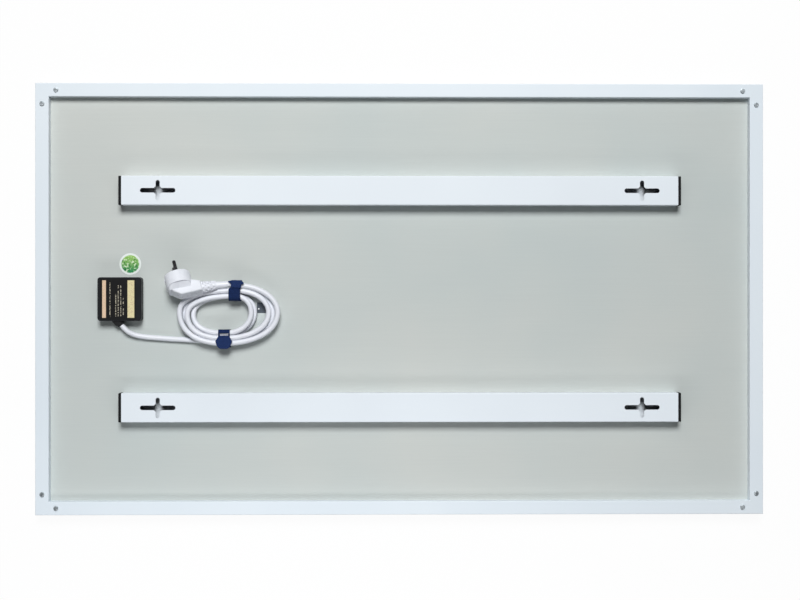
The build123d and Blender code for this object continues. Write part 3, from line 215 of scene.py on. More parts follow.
def build_coat_peel():
    """Powder coat: fine orange peel and a slow drift of tone."""
    tree, given, out = new_group(
        "coat_peel",
        [("Peel Scale", "number", 900.0), ("Drift Scale", "number", 4.0)],
        [("Height", "number"), ("Drift", "number")],
    )
    place = object_place(tree)
    peel = noise_at(tree, place, given.outputs["Peel Scale"], Detail=2.0, Roughness=0.5)
    drift = noise_at(tree, place, given.outputs["Drift Scale"], Detail=3.0, Roughness=0.6)
    tree.links.new(peel, out.inputs["Height"])
    tree.links.new(spread(tree, drift, 0.0, 1.0, (0.35, 0.65)), out.inputs["Drift"])
    return tree


def build_moulded_grain():
    """Moulded plastic or rubber: small pits and a light uneven sheen."""
    tree, given, out = new_group(
        "moulded_grain",
        [("Pit Scale", "number", 1500.0), ("Sheen Scale", "number", 60.0)],
        [("Height", "number"), ("Sheen", "number")],
    )
    place = object_place(tree)
    links = {"Vector": place, "Scale": given.outputs["Pit Scale"]}
    pits = make(tree, "ShaderNodeTexVoronoi", links, feature="SMOOTH_F1")
    sheen = noise_at(tree, place, given.outputs["Sheen Scale"], Detail=4.0, Roughness=0.55)
    tree.links.new(pits.outputs["Distance"], out.inputs["Height"])
    tree.links.new(sheen, out.inputs["Sheen"])
    return tree


def build_metal_grain():
    """Drawn or turned metal: fine lines along one axis, with cloudy tarnish."""
    tree, given, out = new_group(
        "metal_grain",
        [("Stretch", "vector", (40.0, 900.0, 900.0)), ("Cloud Scale", "number", 180.0)],
        [("Lines", "number"), ("Cloud", "number")],
    )
    place = object_place(tree)
    links = {0: place, 1: given.outputs["Stretch"]}
    stretched = make(tree, "ShaderNodeVectorMath", links, operation="MULTIPLY")
    lines = make(
        tree,
        "ShaderNodeTexNoise",
        {"Vector": stretched.outputs["Vector"]},
        {"Scale": 1.0, "Detail": 3.0},
    )
    tree.links.new(lines.outputs["Fac"], out.inputs["Lines"])
    cloud = noise_at(tree, place, given.outputs["Cloud Scale"], Detail=4.0)
    tree.links.new(cloud, out.inputs["Cloud"])
    return tree


def build_fibre_mat():
    """Pressed fibres or looped pile: tangled strands with light and dark flecks."""
    tree, given, out = new_group(
        "fibre_mat",
        [("Fibre Scale", "number", 700.0), ("Fleck Scale", "number", 1600.0)],
        [("Height", "number"), ("Fleck", "number")],
    )
    place = object_place(tree)
    strands = noise_at(
        tree, place, given.outputs["Fibre Scale"], Detail=6.0, Roughness=0.7, Distortion=1.6
    )
    links = {"Vector": place, "Scale": given.outputs["Fleck Scale"]}
    flecks = make(tree, "ShaderNodeTexVoronoi", links).outputs["Distance"]
    tree.links.new(strands, out.inputs["Height"])
    tree.links.new(spread(tree, flecks, 0.0, 1.0, (0.15, 0.75)), out.inputs["Fleck"])
    return tree


def build_band():
    """1 between Low and High along Axis, with soft borders, from Object coordinates in metres."""
    tree, given, out = new_group(
        "band",
        [
            ("Axis", "vector", (1.0, 0.0, 0.0)),
            ("Low", "number", 0.0),
            ("High", "number", 0.01),
            ("Soft", "number", 0.0002),
        ],
        [("Mask", "number")],
    )
    links = {0: object_place(tree), 1: given.outputs["Axis"]}
    along = make(tree, "ShaderNodeVectorMath", links, operation="DOT_PRODUCT").outputs["Value"]
    edges = []
    for upper, lower in ((along, given.outputs["Low"]), (given.outputs["High"], along)):
        gap = maths(tree, "SUBTRACT", upper, lower)
        edges.append(maths(tree, "DIVIDE", gap, given.outputs["Soft"], use_clamp=True))
    tree.links.new(maths(tree, "MULTIPLY", *edges), out.inputs["Mask"])
    return tree


def build_ring():
    """1 inside Radius of Centre in X and Y, with a soft border."""
    tree, given, out = new_group(
        "ring",
        [
            ("Centre", "vector", (0.0, 0.0, 0.0)),
            ("Radius", "number", 0.01),
            ("Soft", "number", 0.0002),
        ],
        [("Mask", "number")],
    )
    links = {0: object_place(tree), 1: given.outputs["Centre"]}
    offset = make(tree, "ShaderNodeVectorMath", links, operation="SUBTRACT").outputs["Vector"]
    flat = make(
        tree, "ShaderNodeVectorMath", {0: offset}, {1: (1, 1, 0)}, operation="MULTIPLY"
    ).outputs["Vector"]
    away = make(tree, "ShaderNodeVectorMath", {0: flat}, operation="LENGTH").outputs["Value"]
    gap = maths(tree, "SUBTRACT", given.outputs["Radius"], away)
    edge = maths(tree, "DIVIDE", gap, given.outputs["Soft"], use_clamp=True)
    tree.links.new(edge, out.inputs["Mask"])
    return tree


GROUPS = {
    "coat_peel": build_coat_peel(),
    "moulded_grain": build_moulded_grain(),
    "metal_grain": build_metal_grain(),
    "fibre_mat": build_fibre_mat(),
    "band": build_band(),
    "ring": build_ring(),
}


# ---- material helpers --------------------------------------------------------------------------
def srgb(red, green, blue):
    """A colour written as it shows, 0 to 255, in the linear numbers the shader wants."""
    out = []
    for value in (red, green, blue):
        share = value / 255
        out.append(share / 12.92 if share <= 0.04045 else ((share + 0.055) / 1.055) ** 2.4)
    return (*out, 1.0)


def new_material(name, **shader_values):
    """A material, its node tree and its shader, with the shader's fixed values set."""
    material = bpy.data.materials.new(name)
    material.use_nodes = True
    shader = material.node_tree.nodes["Principled BSDF"]
    for label, value in shader_values.items():
        shader.inputs[label.replace("_", " ")].default_value = value
    return material, material.node_tree, shader


def placed(tree, group, **values):
    """A shared group placed in a material with its own values."""
    node = tree.nodes.new("ShaderNodeGroup")
    node.node_tree = GROUPS[group]
    for label, value in values.items():
        node.inputs[label.replace("_", " ")].default_value = value
    return node


def blend_colours(tree, mask, low, high):
    """Low where the mask is 0 and high where it is 1; each is a colour or a socket."""
    mix = tree.nodes.new("ShaderNodeMix")
    mix.data_type = "RGBA"
    tree.links.new(mask, mix.inputs["Factor"])
    for side, value in ((6, low), (7, high)):
        if isinstance(value, tuple):
            mix.inputs[side].default_value = value
        else:
            tree.links.new(value, mix.inputs[side])
    return mix.outputs[2]


def masked(tree, group, **values):
    """The mask of a shared band or ring."""
    return placed(tree, group, **values).outputs["Mask"]


def drive(tree, shader, **sources):
    """Links sockets into the shader's inputs of the same names."""
    for label, source in sources.items():
        tree.links.new(source, shader.inputs[label.replace("_", " ")])


def bump(tree, shader, height, depth):
    node = make(tree, "ShaderNodeBump", {"Height": height}, {"Distance": depth, "Strength": 1.0})
    drive(tree, shader, Normal=node.outputs["Normal"])


# ---- finishes ----------------------------------------------------------------------------------
COAT_PEEL = 1100.0
COAT_DRIFT = 3.0
COAT_DEPTH = 0.00003
# How far inside a rail's sides, foot and top its dark grey inside begins, in millimetres; that grey
# stands for bare steel and is painted far darker, as painted shade inside the tube.
STEEL_AND_SHADE_SIDE = 1.3
STEEL_AND_SHADE_FOOT = 1.9
STEEL_AND_SHADE_TOP = 0.5


def powder_coat(name, pale, deep, roughness, peel=COAT_PEEL, depth=COAT_DEPTH):
    """White coating with orange peel and a slow tone drift between two near colours."""
    material, tree, shader = new_material(name, Specular_IOR_Level=0.2)
    coat = placed(tree, "coat_peel", Peel_Scale=peel, Drift_Scale=COAT_DRIFT)
    peel_height = coat.outputs["Height"]
    drive(
        tree,
        shader,
        Base_Color=blend_colours(tree, coat.outputs["Drift"], deep, pale),
        Roughness=spread(tree, peel_height, roughness - 0.06, roughness + 0.06),
    )
    bump(tree, shader, peel_height, depth)
    return material


def rail_finish():
    """The rails' white coat; the tube's inner walls and cut edges are dark grey, bare steel painted
    dark as shade inside the tube.
    """
    material, tree, shader = new_material("rail_coat", Specular_IOR_Level=0.2)
    coat = placed(tree, "coat_peel", Peel_Scale=COAT_PEEL, Drift_Scale=COAT_DRIFT)
    tone = coat.outputs["Drift"]
    outside = blend_colours(tree, tone, srgb(232, 238, 244), srgb(237, 243, 249))
    # Painted shade: the dark grey inside the tube stands for bare steel and for the shade in there,
    # which darkens the keyholes.
    steel_and_shade = blend_colours(tree, tone, srgb(58, 62, 66), srgb(74, 78, 82))
    low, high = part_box("rail_top")
    near, far = low[1] + STEEL_AND_SHADE_SIDE * MM, high[1] - STEEL_AND_SHADE_SIDE * MM
    upper = masked(tree, "band", Axis=ALONG_Y, Low=near, High=far)
    lower = masked(tree, "band", Axis=ALONG_Y, Low=-far, High=-near)
    foot, top = low[2] + STEEL_AND_SHADE_FOOT * MM, high[2] - STEEL_AND_SHADE_TOP * MM
    height = masked(tree, "band", Axis=ALONG_Z, Low=foot, High=top, Soft=0.0003)
    hidden = maths(tree, "MULTIPLY", maths(tree, "MAXIMUM", upper, lower), height)
    drive(
        tree,
        shader,
        Base_Color=blend_colours(tree, hidden, outside, steel_and_shade),
        Roughness=spread(tree, coat.outputs["Height"], 0.34, 0.46),
    )
    bump(tree, shader, coat.outputs["Height"], COAT_DEPTH)
    return material


def moulded(name, pale, deep, roughness, pits=1500.0, depth=0.00004, **shader_values):
    """Moulded plastic or rubber with fine pits and an uneven sheen."""
    material, tree, shader = new_material(name, **shader_values)
    grain = placed(tree, "moulded_grain", Pit_Scale=pits)
    sheen = grain.outputs["Sheen"]
    drive(
        tree,
        shader,
        Base_Color=blend_colours(tree, sheen, deep, pale),
        Roughness=spread(tree, sheen, roughness - 0.08, roughness + 0.08, (0.3, 0.7)),
    )
    bump(tree, shader, grain.outputs["Height"], depth)
    return material


def bare_metal(name, pale, deep, roughness, stretch=(900.0, 900.0, 60.0)):
    """Metal with fine drawn lines and cloudy tarnish."""
    material, tree, shader = new_material(name, Metallic=1.0)
    grain = placed(tree, "metal_grain", Stretch=stretch, Cloud_Scale=180.0)
    lines = grain.outputs["Lines"]
    cloudy = spread(tree, grain.outputs["Cloud"], 0.0, 1.0, (0.35, 0.65))
    drive(
        tree,
        shader,
        Base_Color=blend_colours(tree, cloudy, deep, pale),
        Roughness=spread(tree, lines, roughness - 0.1, roughness + 0.12, (0.3, 0.7)),
    )
    bump(tree, shader, lines, 0.00002)
    return material


def fibrous(name, pale, deep, roughness, fibre=700.0, fleck=1600.0, depth=0.0003, **shader_values):
    """Felted board or looped pile."""
    material, tree, shader = new_material(name, Roughness=roughness, **shader_values)
    mat = placed(tree, "fibre_mat", Fibre_Scale=fibre, Fleck_Scale=fleck)
    drive(tree, shader, Base_Color=blend_colours(tree, mat.outputs["Fleck"], deep, pale))
    bump(tree, shader, mat.outputs["Height"], depth)
    return material


def back_plate_finish():
    """Coil-coated sheet: grey-beige with a slow drift of tone and faint rolling lines."""
    material, tree, shader = new_material("back_plate_coat", Specular_IOR_Level=0.15)
    coat = placed(tree, "coat_peel", Peel_Scale=700.0, Drift_Scale=2.2)
    warm = blend_colours(tree, coat.outputs["Drift"], srgb(196, 203, 201), srgb(205, 208, 204))
    lines = placed(tree, "metal_grain", Stretch=(9.0, 700.0, 9.0), Cloud_Scale=30.0)
    faint = spread(tree, lines.outputs["Lines"], 0.0, 0.07, (0.3, 0.7))
    drive(
        tree,
        shader,
        Base_Color=blend_colours(tree, faint, warm, srgb(168, 172, 174)),
        Roughness=spread(tree, coat.outputs["Height"], 0.42, 0.52),
    )
    bump(tree, shader, coat.outputs["Height"], 0.00002)
    return material


# The rating label's print. Lengths in metres; starts, ends and widths are shares of its size.
PRINT_INSET = 0.0022
PRINT_SOFT = 0.0006
GILT_WORN = (212, 190, 154)
GILT_BARS = ((0.065, 0.18, (232, 200, 172)), (0.765, 0.965, (230, 218, 172)))
DASH_COLOUR = (216, 206, 184)
DASH_ROW_WIDE = 0.03
DASH_ROWS = ((0.27, 0.9), (0.43, 0.62), (0.5, 0.84), (0.57, 0.84), (0.64, 0.55))


def rating_label_finish():
    """Black film label with two plain gilt bars and, between them, lines of plain dashes."""
    low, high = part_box("rating_label")
    left, wide, foot, tall = low[0], high[0] - low[0], low[1], high[1] - low[1]
    look = {"Roughness": 0.45, "Specular_IOR_Level": 0.1}
    material, tree, shader = new_material("rating_label_film", **look)
    grain = placed(tree, "moulded_grain", Pit_Scale=900.0, Sheen_Scale=140.0)
    colour = blend_colours(tree, grain.outputs["Sheen"], srgb(8, 8, 9), srgb(20, 19, 20))
    print_wear = placed(tree, "moulded_grain", Pit_Scale=900.0, Sheen_Scale=620.0)
    patches = spread(tree, print_wear.outputs["Sheen"], 0.0, 1.0, (0.36, 0.5))
    ends = {"Low": foot + PRINT_INSET, "High": high[1] - PRINT_INSET, "Soft": PRINT_SOFT}
    bar_length = masked(tree, "band", Axis=ALONG_Y, **ends)
    for start, end, gilt in GILT_BARS:
        sides = {"Low": left + start * wide, "High": left + end * wide, "Soft": PRINT_SOFT}
        bar = maths(tree, "MULTIPLY", masked(tree, "band", **sides), bar_length)
        patchy = blend_colours(tree, patches, srgb(*GILT_WORN), srgb(*gilt))
        colour = blend_colours(tree, bar, colour, patchy)
    strokes = placed(tree, "metal_grain", Stretch=(330.0, 620.0, 60.0), Cloud_Scale=90.0)
    dashes = spread(tree, strokes.outputs["Lines"], 0.0, 0.7, (0.46, 0.52))
    for start, reach in DASH_ROWS:
        sides = {"Low": left + start * wide, "High": left + (start + DASH_ROW_WIDE) * wide}
        ends = {"Low": foot + 2 * PRINT_INSET, "High": foot + reach * tall}
        line = masked(tree, "band", **sides)
        length = masked(tree, "band", Axis=ALONG_Y, **ends)
        broken = maths(tree, "MULTIPLY", maths(tree, "MULTIPLY", line, length), dashes)
        colour = blend_colours(tree, broken, colour, srgb(*DASH_COLOUR))
    drive(tree, shader, Base_Color=colour)
    return material


# The round sticker in metres: how far below its middle the green starts to turn yellow, over
# what height it does, and the radius of the green disc.
CLIMB_FROM = 0.010
CLIMB_SOFT = 0.022
DISC_RADIUS = 0.0125
# How far past its sticker or label a band runs that has no end on it, in metres.
BEYOND_STICKER = 0.1
BEYOND_LABEL = 0.01


def round_sticker_finish():
    """Green disc with a white rim, paler and yellower towards the top, with plain blots."""
    low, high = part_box("round_sticker")
    centre = ((low[0] + high[0]) / 2, (low[1] + high[1]) / 2, 0)
    look = {"Roughness": 0.34, "Specular_IOR_Level": 0.2}
    material, tree, shader = new_material("round_sticker_film", **look)
    ends = {"Low": centre[1] - CLIMB_FROM, "High": centre[1] + BEYOND_STICKER}
    climb = masked(tree, "band", Axis=ALONG_Y, Soft=CLIMB_SOFT, **ends)
    blots = placed(tree, "moulded_grain", Pit_Scale=900.0, Sheen_Scale=300.0).outputs["Sheen"]
    green = blend_colours(tree, climb, srgb(46, 140, 84), srgb(158, 204, 104))
    pale = spread(tree, blots, 0.0, 1.0, (0.54, 0.6))
    green = blend_colours(tree, pale, green, srgb(220, 238, 204))
    dark = spread(tree, blots, 1.0, 0.0, (0.37, 0.42))
    green = blend_colours(tree, dark, green, srgb(30, 96, 58))
    disc = masked(tree, "ring", Centre=centre, Radius=DISC_RADIUS, Soft=0.0005)
    drive(tree, shader, Base_Color=blend_colours(tree, disc, srgb(238, 244, 240), green))
    return material


# The small label: the share of its height that is pale, and its dot's place and radius in metres.
PALE_SHARE = 0.52
DOT_PLACE = (-0.1962, -0.0135, 0)
DOT_RADIUS = 0.0012


def small_label_finish():
    """Two-tone metallised label: dark grey above, pale silver below, with a pale dot."""
    low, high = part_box("small_label")
    split = low[1] + (high[1] - low[1]) * PALE_SHARE
    look = {"Roughness": 0.38, "Metallic": 0.25, "Specular_IOR_Level": 0.2}
    material, tree, shader = new_material("small_label_film", **look)
    grain = placed(tree, "metal_grain", Stretch=(60.0, 900.0, 60.0), Cloud_Scale=120.0)
    cloud = grain.outputs["Cloud"]
    dark = blend_colours(tree, cloud, srgb(58, 64, 72), srgb(88, 95, 104))
    pale = blend_colours(tree, cloud, srgb(176, 184, 184), srgb(208, 214, 212))
    ends = {"Low": split, "High": high[1] + BEYOND_LABEL}
    upper = masked(tree, "band", Axis=ALONG_Y, Soft=0.0006, **ends)
    dot = masked(tree, "ring", Centre=DOT_PLACE, Radius=DOT_RADIUS, Soft=0.0003)
    colour = blend_colours(tree, upper, pale, dark)
    drive(tree, shader, Base_Color=blend_colours(tree, dot, colour, srgb(232, 236, 236)))
    return material


def earth_wire_finish():
    """Green insulation with yellow stripes along it."""
    material, tree, shader = new_material("earth_wire_sheath", Roughness=0.4)
    stripes = make(
        tree,
        "ShaderNodeTexWave",
        {"Vector": object_place(tree)},
        {"Scale": 260.0, "Distortion": 1.2},
        bands_direction="DIAGONAL",
    )
    edge = spread(tree, stripes.outputs["Fac"], 0.0, 1.0, (0.45, 0.55))
    drive(tree, shader, Base_Color=blend_colours(tree, edge, srgb(58, 130, 46), srgb(226, 208, 60)))
    return material


def make_finishes():
    """Every finish under its short name; each takes a pale colour, a deep one and a roughness."""
    return {
        "frame": powder_coat("frame_coat", srgb(234, 241, 247), srgb(229, 237, 244), 0.44),
        "front": powder_coat(
            "front_enamel", srgb(238, 238, 235), srgb(230, 230, 226), 0.55, 500.0, 0.00012
        ),
        "rail": rail_finish(),
        "back": back_plate_finish(),
        "cap": moulded(
            "end_cap_plastic", srgb(20, 20, 22), srgb(12, 12, 13), 0.6, Specular_IOR_Level=0.1
        ),
        "box": moulded(
            "junction_box_plastic",
            srgb(26, 27, 31),
            srgb(16, 17, 20),
            0.45,
            1100.0,
            Specular_IOR_Level=0.12,
        ),
        "rating_label": rating_label_finish(),
        "round_sticker": round_sticker_finish(),
        "small_label": small_label_finish(),
        "screw": bare_metal("zinc_screw", srgb(166, 172, 176), srgb(104, 110, 114), 0.3),
        "key": bare_metal("cast_key", srgb(176, 178, 180), srgb(140, 142, 146), 0.5),
        "rivet": bare_metal("rivet_aluminium", srgb(196, 198, 200), srgb(166, 168, 170), 0.4),
        "film": moulded("carbon_film", srgb(34, 34, 36), srgb(20, 20, 22), 0.35, 400.0),
        "copper": bare_metal(
            "busbar_copper", srgb(208, 142, 104), srgb(168, 102, 70), 0.32, (20.0, 900.0, 900.0)
        ),
        "foil": bare_metal(
            "reflector_foil", srgb(218, 220, 222), srgb(192, 194, 198), 0.24, (12.0, 400.0, 12.0)
        ),
        "board": fibrous("fibre_board", srgb(222, 214, 178), srgb(188, 178, 138), 0.95),
        "rubber": moulded(
            "black_rubber", srgb(26, 26, 28), srgb(15, 15, 17), 0.62, 900.0, Specular_IOR_Level=0.2
        ),
        "nylon": moulded("natural_nylon", srgb(226, 222, 208), srgb(212, 206, 190), 0.4),
        "brass": bare_metal(
            "turned_brass", srgb(212, 178, 108), srgb(170, 136, 74), 0.3, (900.0, 60.0, 900.0)
        ),
        "cutout": moulded("cut_out_shell", srgb(52, 50, 48), srgb(34, 32, 30), 0.42),
        "cord": moulded(
            "cord_sheath", srgb(236, 237, 243), srgb(226, 228, 236), 0.4, 700.0, 0.00003
        ),
        "plug": moulded(
            "plug_shell", srgb(234, 236, 242), srgb(228, 230, 238), 0.3, 1800.0, 0.00001
        ),
        "bridge": moulded("plug_insert", srgb(54, 54, 56), srgb(38, 38, 40), 0.4),
        "pin": bare_metal(
            "nickel_pin", srgb(66, 66, 68), srgb(34, 34, 36), 0.26, (60.0, 60.0, 900.0)
        ),
        "strap": fibrous(
            "hook_and_loop",
            srgb(34, 52, 96),
            srgb(10, 20, 46),
            0.85,
            900.0,
            1500.0,
            0.00035,
            Specular_IOR_Level=0.08,
        ),
        "strap_edge": fibrous(
            "strap_webbing",
            srgb(40, 60, 108),
            srgb(12, 24, 56),
            0.7,
            1600.0,
            2600.0,
            0.0001,
            Specular_IOR_Level=0.08,
        ),
        "brown_wire": moulded("brown_sheath", srgb(112, 74, 50), srgb(88, 56, 36), 0.42),
        "blue_wire": moulded("blue_sheath", srgb(44, 92, 176), srgb(30, 70, 140), 0.42),
        "earth_wire": earth_wire_finish(),
    }


FINISH_OF = {
    "frame": ("frame_top", "frame_bottom", "frame_left", "frame_right"),
    "front": ("front_plate",),
    "rail": ("rail_top", "rail_bottom"),
    "back": ("back_plate",),
    "cap": (
        "rail_cap_top_left",
        "rail_cap_top_right",
        "rail_cap_bottom_left",
        "rail_cap_bottom_right",
    ),
    "box": ("junction_box_base", "junction_box_lid"),
    "rating_label": ("rating_label",),
    "round_sticker": ("round_sticker",),
    "small_label": ("small_label",),
    "screw": (
        "corner_screws",
        "box_fixing_screws",
        "terminal_screws",
        "earth_stud",
        "cord_clamp_screws",
    ),
    "key": (
        "corner_key_top_left",
        "corner_key_top_right",
        "corner_key_bottom_left",
        "corner_key_bottom_right",
    ),
    "rivet": ("rail_rivets",),
    "film": ("heating_film",),
    "copper": ("film_busbars",),
    "foil": ("reflector_foil",),
    "board": ("insulation_board",),
    "rubber": ("wire_grommet",),
    "nylon": ("terminal_block", "cord_clamp"),
    "brass": ("terminal_inserts",),
    "cutout": ("thermal_cutout",),
    "cord": ("cord_tail", "plug_strain_relief"),
    "plug": ("plug_body",),
    "bridge": ("plug_bridge",),
    "pin": ("plug_pins", "plug_earth_clips"),
    "brown_wire": ("wire_live", "core_live"),
    "blue_wire": ("wire_neutral", "core_neutral"),
    "earth_wire": ("wire_earth", "core_earth"),
}


def dress_cad_nodes():
    for finish, names in FINISH_OF.items():
        for name in names:
            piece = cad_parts[name]
            for slot in piece.material_slots:
                slot.material = FINISHES[finish]


# ---- pieces ------------------------------------------------------------------------------------
def finish_mesh(name, shape, smooth=False):
    """Turns a bmesh into an object at the origin and frees the bmesh."""
    mesh = bpy.data.meshes.new(name)
    shape.to_mesh(mesh)
    shape.free()
    for face in mesh.polygons:
        face.use_smooth = smooth
    piece = bpy.data.objects.new(name, mesh)
    bpy.context.collection.objects.link(piece)
    return piece


# The cord's route in millimetres. It follows the model's cord, and a few places are moved to lie
# as the real one does. Each quarter turn of the coil runs from one side's place to the next one's.
MOUTH = Vector((-384.286, -36.225, 21.2))
CORD_DIA = 7.2
LEAD = (
    (-378.75, -43.32, 21.2),
    (-369.39, -48.98, 18.7),
    (-355.69, -52.23, 17.2),
    (-337.69, -53.63, 16.8),
    (-317.99, -55.23, 16.8),
    (-297.99, -56.13, 17.0),
    (-280.99, -57.33, 17.5),
    (-264.49, -57.40, 18.4),
    (-251.49, -57.60, 18.4),
)
COIL = (
    ("bottom", (-242.5, -57.7, 18.4)),
    ("right", (-175.2, -19.0, 18.4)),
    ("top", (-228.0, 12.2, 18.4)),
    ("left", (-299.0, -18.0, 18.4)),
    ("bottom", (-242.5, -50.2, 18.4)),
    ("right", (-201.0, -19.0, 18.4)),
    ("top", (-228.0, 4.5, 18.4)),
    ("left", (-286.6, -21.0, 20.6)),
    ("bottom", (-242.5, -47.5, 26.2)),
    ("right", (-205.0, -19.0, 26.2)),
    ("top", (-228.0, 4.5, 26.2)),
    ("left", (-294.4, -21.0, 26.2)),
    ("bottom", (-242.5, -54.7, 26.2)),
    ("right", (-180.6, -19.0, 26.2)),
    ("top", (-228.0, 12.2, 26.2)),
    ("left", (-305.2, -17.0, 26.2)),
    ("bottom", (-242.5, -61.9, 26.2)),
    ("right", (-167.8, -19.0, 26.2)),
    ("end", (-233.43, 20.48, 28.38)),
)
COIL_OUT = (-240.59, 19.97, 29.0)
QUARTER_POINTS = 4
CLIMB_POWER = 1.5
CURVE_STEPS = 8
TUBE_STEPS = 5
CORNER_FULLNESS = {"bottom": 2.1, "right": 2.1, "top": 2.3, "left": 2.3}


def quarter_points(side, here, there):
    """Points of a quarter oval from one side's place towards the next one's, without that one."""
    ahead = 0 if side in ("bottom", "top") else 1
    power = 2 / CORNER_FULLNESS[side]
    points = []
    for step in range(QUARTER_POINTS):
        turn = math.radians(90 * step / QUARTER_POINTS)
        share = (math.sin(turn) ** power, 1 - math.cos(turn) ** power)
        point = here.copy()
        point[ahead] += (there[ahead] - here[ahead]) * share[0]
        point[1 - ahead] += (there[1 - ahead] - here[1 - ahead]) * share[1]
        point.z += (there.z - here.z) * (step / QUARTER_POINTS) ** CLIMB_POWER
        points.append(point)
    return points


def cord_route():
    """The cord's control points, from the gland's mouth to the plug's strain relief."""
    points = [MOUTH] + [Vector(place) for place in LEAD]
    for (side, here), (_, there) in zip(COIL, COIL[1:]):
        points += quarter_points(side, Vector(here), Vector(there))
    return points + [Vector(COIL[-1][1]), Vector(COIL_OUT)]


def spline_curve(name, points, radius):
    """An open curve through a route's control points, given in millimetres."""
    curve = bpy.data.curves.new(name, "CURVE")
    curve.dimensions = "3D"
    spline = curve.splines.new("NURBS")
    spline.points.add(len(points) - 1)
    for target, point in zip(spline.points, points):
        target.co = (*(point * MM), 1)
    spline.order_u = 3
    spline.use_endpoint_u = True
    spline.resolution_u = CURVE_STEPS
    curve.resolution_u = CURVE_STEPS
    curve.bevel_depth = radius * MM
    curve.bevel_resolution = TUBE_STEPS
    curve.use_fill_caps = True
    return curve


def mains_cord():
    """The cord as one soft curve, in place of its two visible stretches in the model."""
    curve = spline_curve("mains_cord", cord_route(), CORD_DIA / 2)
    cord = bpy.data.objects.new("mains_cord", curve)
    bpy.context.collection.objects.link(cord)
    cord.data.materials.append(FINISHES["cord"])
    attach(cord, "root")
    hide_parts("cord_lead", "cord_coil")
    return cord


# ---- cord gland --------------------------------------------------------------------------------
BOX_SIDE_Y = -30.0
BOX_WALL = 2.0
GLAND_ENTRY = Vector((-389.15, BOX_SIDE_Y, 21.2))
GLAND_WAY = Vector((0.6157, -0.788, 0))
GLAND_NOSE = (
    (-6.0, 3.75),
    (-6.0, 7.3),
    (1.4, 7.3),
    (3.2, 6.9),
    (4.9, 6.1),
    (6.4, 5.2),
    (7.5, 4.5),
    (7.9, 4.1),
    (7.9, 3.75),
)
GLAND_NECK = ((-3.6, 3.75), (-3.6, 4.9), (-0.5, 4.9), (-0.5, 3.75))
GLAND_FLANGE = ((0, 4.9), (0, 6.1), (1.1, 6.1), (1.4, 5.8), (1.4, 4.9))
FLANGE_SHIFT = -1.56
FLANGE_GAP = 0.1
GLAND_SHARP = 40
TURN_STEPS = 40
WELD_GAP = 1e-7


def turned(shape, foot, way, profile):
    """Adds a ring turned about a level or nearly level axis from (along, radius) points."""
    side = Vector(ALONG_Z)
    places = [(foot + way * along + side * radius) * MM for along, radius in profile]
    verts = [shape.verts.new(place) for place in places]
    edges = [shape.edges.new((one, two)) for one, two in zip(verts, verts[1:] + verts[:1])]
    bmesh.ops.spin(
        shape,
        geom=verts + edges,
        cent=foot * MM,
        axis=way,
        angle=math.tau,
        steps=TURN_STEPS,
        use_merge=True,
    )


def everything(shape):
    return shape.verts[:] + shape.edges[:] + shape.faces[:]


def cord_gland_bush():
    """Rubber bush: a round nose cut off slantwise by the box's side, its neck and its flange."""
    shape = bmesh.new()
    turned(shape, GLAND_ENTRY, GLAND_WAY, GLAND_NOSE)
    bmesh.ops.bisect_plane(
        shape,
        geom=everything(shape),
        plane_co=GLAND_ENTRY * MM,
        plane_no=ALONG_Y,
        clear_outer=True,
    )
    rims = [edge for edge in shape.edges if edge.is_boundary]
    bmesh.ops.bridge_loops(shape, edges=rims)
    turned(shape, GLAND_ENTRY, GLAND_WAY, GLAND_NECK)
    inner = GLAND_ENTRY + Vector((FLANGE_SHIFT, BOX_WALL + FLANGE_GAP, 0))
    turned(shape, inner, Vector(ALONG_Y), GLAND_FLANGE)
    bmesh.ops.remove_doubles(shape, verts=shape.verts, dist=WELD_GAP)
    bmesh.ops.recalc_face_normals(shape, faces=shape.faces)
    gland = finish_mesh("cord_gland_bush", shape, smooth=True)
    gland.data.set_sharp_from_angle(angle=math.radians(GLAND_SHARP))
    gland.data.materials.append(FINISHES["rubber"])
    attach(gland, "root")
    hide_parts("cord_gland")


# ---- end of the plug's sleeve ------------------------------------------------------------------
RELIEF_TIP = (
    (-2.5, 3.75),
    (-2.5, 4.55),
    (0.0, 4.6),
    (5.6, 4.35),
    (6.8, 4.15),
    (7.2, 3.9),
    (7.2, 3.75),
)
TIP_SHARP = 50


def relief_tip():
    """The sleeve's last bit, which runs in under the upper tie."""
    shape = bmesh.new()
    foot = Vector(COIL_OUT)
    turned(shape, foot, (Vector(COIL[-1][1]) - foot).normalized(), RELIEF_TIP)
    bmesh.ops.recalc_face_normals(shape, faces=shape.faces)
    tip = finish_mesh("relief_tip", shape, smooth=True)
    tip.data.set_sharp_from_angle(angle=math.radians(TIP_SHARP))
    tip.data.materials.append(FINISHES["plug"])
    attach(tip, "root")
    return tip


# ---- hook-and-loop ties ------------------------------------------------------------------------
# Lengths in millimetres.
STRAP_WIDE = 16.0
STRAP_THICK = 1.3
STRAP_CORNER = 4.0
STRAP_LOW = 14.4
CUTS_ACROSS = 8
CUTS_ALONG = 12
SLOT_MARGIN = 2.0
WAIST_RUN = 3.0
WAVE_DEPTH = 0.35
WAVE_LENGTH = 9.0
WAVE_SEED = 1
HEAD_THICK = 1.5
HEAD_ROUND = 0.45
BORDER_STEP = (0.35, -0.3)
BOTTOM_TIE_X = -242.49
TOP_TIE_X = -227.99


def rounded(shape, edges, offset, segments):
    bmesh.ops.bevel(
        shape,
        geom=edges,
        offset=offset * MM,
        segments=segments,
        profile=0.5,
        affect="EDGES",
        material=-1,
    )


def softened(shape):
    """Moves every point a little along its own slow wave, as cloth lies."""
    noise.seed_set(WAVE_SEED)
    for vert in shape.verts:
        vert.co += noise.noise_vector(vert.co / (WAVE_LENGTH * MM)) * WAVE_DEPTH * MM


def cut_across(shape, axis, place):
    """Cuts the whole shape in two along a plane across an axis, and keeps both parts."""
    way = Vector((axis == "x", axis == "y", 0))
    bmesh.ops.bisect_plane(shape, geom=everything(shape), plane_co=way * place * MM, plane_no=way)


